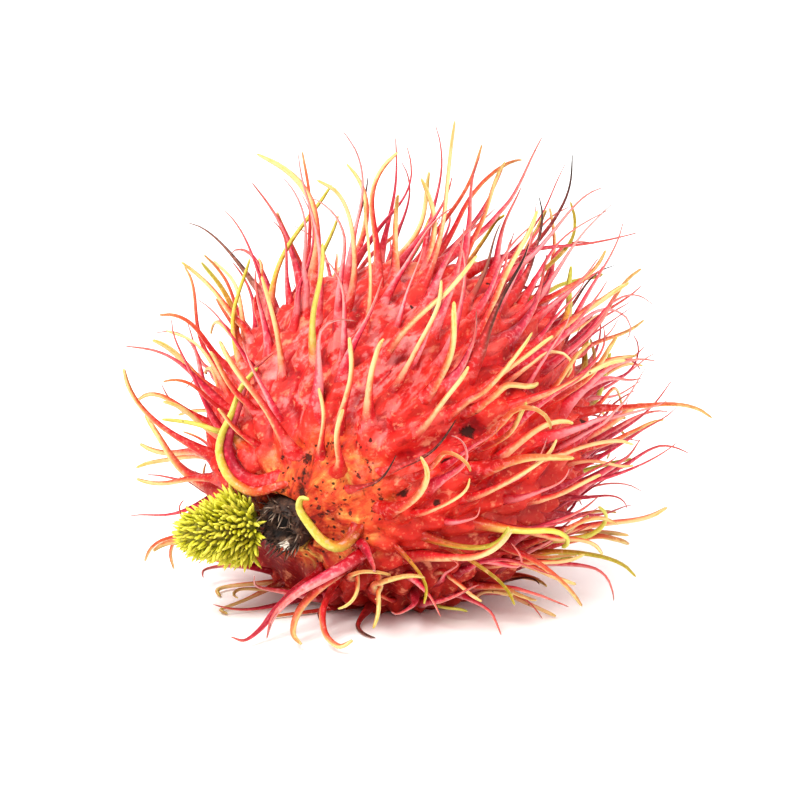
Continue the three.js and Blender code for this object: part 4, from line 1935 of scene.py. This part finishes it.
@dataclass
class Fruitlet:
    """The undeveloped fruitlet beside the stalk: a short blunt body thick with bristles."""

    length: float = 9.2 * MM
    base_radius: float = 3.9 * MM
    tip_radius: float = 1.6 * MM
    direction: Point = (-0.877, -0.48, -0.025)
    offset: Point = (-4.7 * MM, 2.9 * MM, -1.3 * MM)
    blunt_share: float = 0.18
    blunting: float = 0.45
    round_from: float = 0.72
    round_share: float = 0.28
    bristle_length: float = 2.1 * MM
    clearance: float = 0.6 * MM
    sides: int = 32
    rings: int = 24
    seed: int = 11

    @cached_property
    def axis(self) -> np.ndarray:
        """Unit direction from its foot to its tip."""
        return unit(np.array(self.direction))

    @cached_property
    def foot(self) -> np.ndarray:
        """The middle of its foot."""
        return FORM.stem_end + np.array(self.offset)

    def radius_at(self, share: float) -> float:
        """Return its radius at a share of its length: blunt at the foot, rounded and narrower at the tip."""
        taper = self.base_radius + (self.tip_radius - self.base_radius) * share
        foot = math.sqrt(1 - (1 - min(share / self.blunt_share, 1)) ** 2 * self.blunting)
        end = math.sqrt(max(1 - (max(share - self.round_from, 0) / self.round_share) ** 2, 0))
        return taper * foot * end

    def clears(self, line: np.ndarray) -> bool:
        """Tell whether a line stays off the fruitlet and its bristles."""
        along = np.clip((line - self.foot) @ self.axis, 0, self.length)
        gaps = np.linalg.norm(line - self.foot - along[:, None] * self.axis, axis=1)
        return bool(gaps.min() > self.base_radius + self.bristle_length + self.clearance)

    def build(self) -> None:
        """Make the fruitlet, which stands for its solid."""
        shares = np.concatenate([np.linspace(0, 0.9, self.rings), [0.94, 0.97, 0.99]])
        outline = [(0.0, 0.0), *((self.radius_at(s), s * self.length) for s in shares), (0.0, self.length)]
        skin = lathe("fruitlet", outline, self.foot, self.axis, self.sides)
        bristles = Tufts(
            bristle_length=self.bristle_length,
            bristle_radius=0.26 * MM,
            spacing=0.42 * MM,
            axis=self.axis,
            lean_near=0.5,
            lean_far=0.9,
            shrink=0.42,
            fullness=2.8,
            seed=self.seed,
            keep_low=0.1,
        )
        piece = bristles.cover("fruitlet_bristles", skin, FruitletFinish().material())
        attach(piece, "root")
        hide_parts("undeveloped_fruitlet")
        LOG.info("%s: %d faces", piece.name, len(piece.data.polygons))


# ---- Studio ----


@dataclass(frozen=True)
class Panel:
    """A square light that faces the fruit. Its power is in watts."""

    name: str
    place: Point
    size: float
    power: float
    colour: Colour


@dataclass
class Studio:
    """A white floor, soft white light all round, and the camera a little above the fruit."""

    elevation: float = math.radians(12)
    distance: float = 0.34
    lens: float = 124.0
    clip: tuple[float, float] = (0.01, 20.0)
    aim: Point = (1.2 * MM, 0.0, 24.0 * MM)
    floor_half: float = 3.0
    floor_white: Colour = (0.96, 0.96, 0.96)
    sky: Colour = (1.0, 1.0, 1.0)
    sky_strength: float = 1.04
    panels: tuple[Panel, ...] = (
        Panel("key_light", (-0.16, -0.30, 0.42), 0.22, 2.5, (1.0, 0.98, 0.95)),
        Panel("right_light", (0.45, -0.12, 0.26), 0.30, 0.5, (1.0, 0.99, 0.98)),
        Panel("back_light", (0.05, 0.45, 0.40), 0.40, 0.8, (1.0, 1.0, 1.0)),
    )

    def floor(self) -> None:
        """Lay the floor."""
        half = self.floor_half
        corners = [(-half, -half, 0), (half, -half, 0), (half, half, 0), (-half, half, 0)]
        floor = placed("studio_floor", plain_mesh("studio_floor", np.array(corners), [], [(0, 1, 2, 3)]))
        graph = ShaderGraph("studio_white")
        floor.data.materials.append(graph.dress(base_color=self.floor_white, roughness=0.7))

    def hang(self, panel: Panel) -> None:
        """Hang one light."""
        light = bpy.data.lights.new(panel.name, "AREA")
        light.size, light.energy, light.color = panel.size, panel.power, panel.colour
        holder = placed(panel.name, light)
        holder.location = panel.place
        down = Vector(self.aim) - Vector(panel.place)
        holder.rotation_euler = down.to_track_quat("-Z", "Y").to_euler()

    def camera(self) -> None:
        """Stand the camera."""
        view = bpy.data.cameras.new("camera")
        view.lens = self.lens
        view.clip_start, view.clip_end = self.clip
        holder = placed("camera", view)
        back = Vector((0, -math.cos(self.elevation), math.sin(self.elevation)))
        holder.location = Vector(self.aim) + back * self.distance
        holder.rotation_euler = (-back).to_track_quat("-Z", "Y").to_euler()
        bpy.context.scene.camera = holder

    def build(self) -> None:
        """Set up the floor, the lights, the camera and the tones of the picture."""
        scene = bpy.context.scene
        world = bpy.data.worlds.new("studio_sky")
        world.use_nodes = True
        background = world.node_tree.nodes["Background"]
        background.inputs["Color"].default_value = (*self.sky, 1)
        background.inputs["Strength"].default_value = self.sky_strength
        scene.world = world
        scene.view_settings.view_transform = "Standard"
        scene.view_settings.look = "Medium High Contrast"
        self.floor()
        for panel in self.panels:
            self.hang(panel)
        self.camera()


def main() -> None:
    """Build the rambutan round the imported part, and its studio."""
    logging.basicConfig(level=logging.INFO, format="%(name)s: %(message)s")
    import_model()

    spinterns = Spinterns()
    spinterns.grow()
    Rind(spinterns).build()
    spinterns.build()
    StalkEnd().build()
    Fruitlet().build()
    Studio().build()


if __name__ == "__main__":
    main()
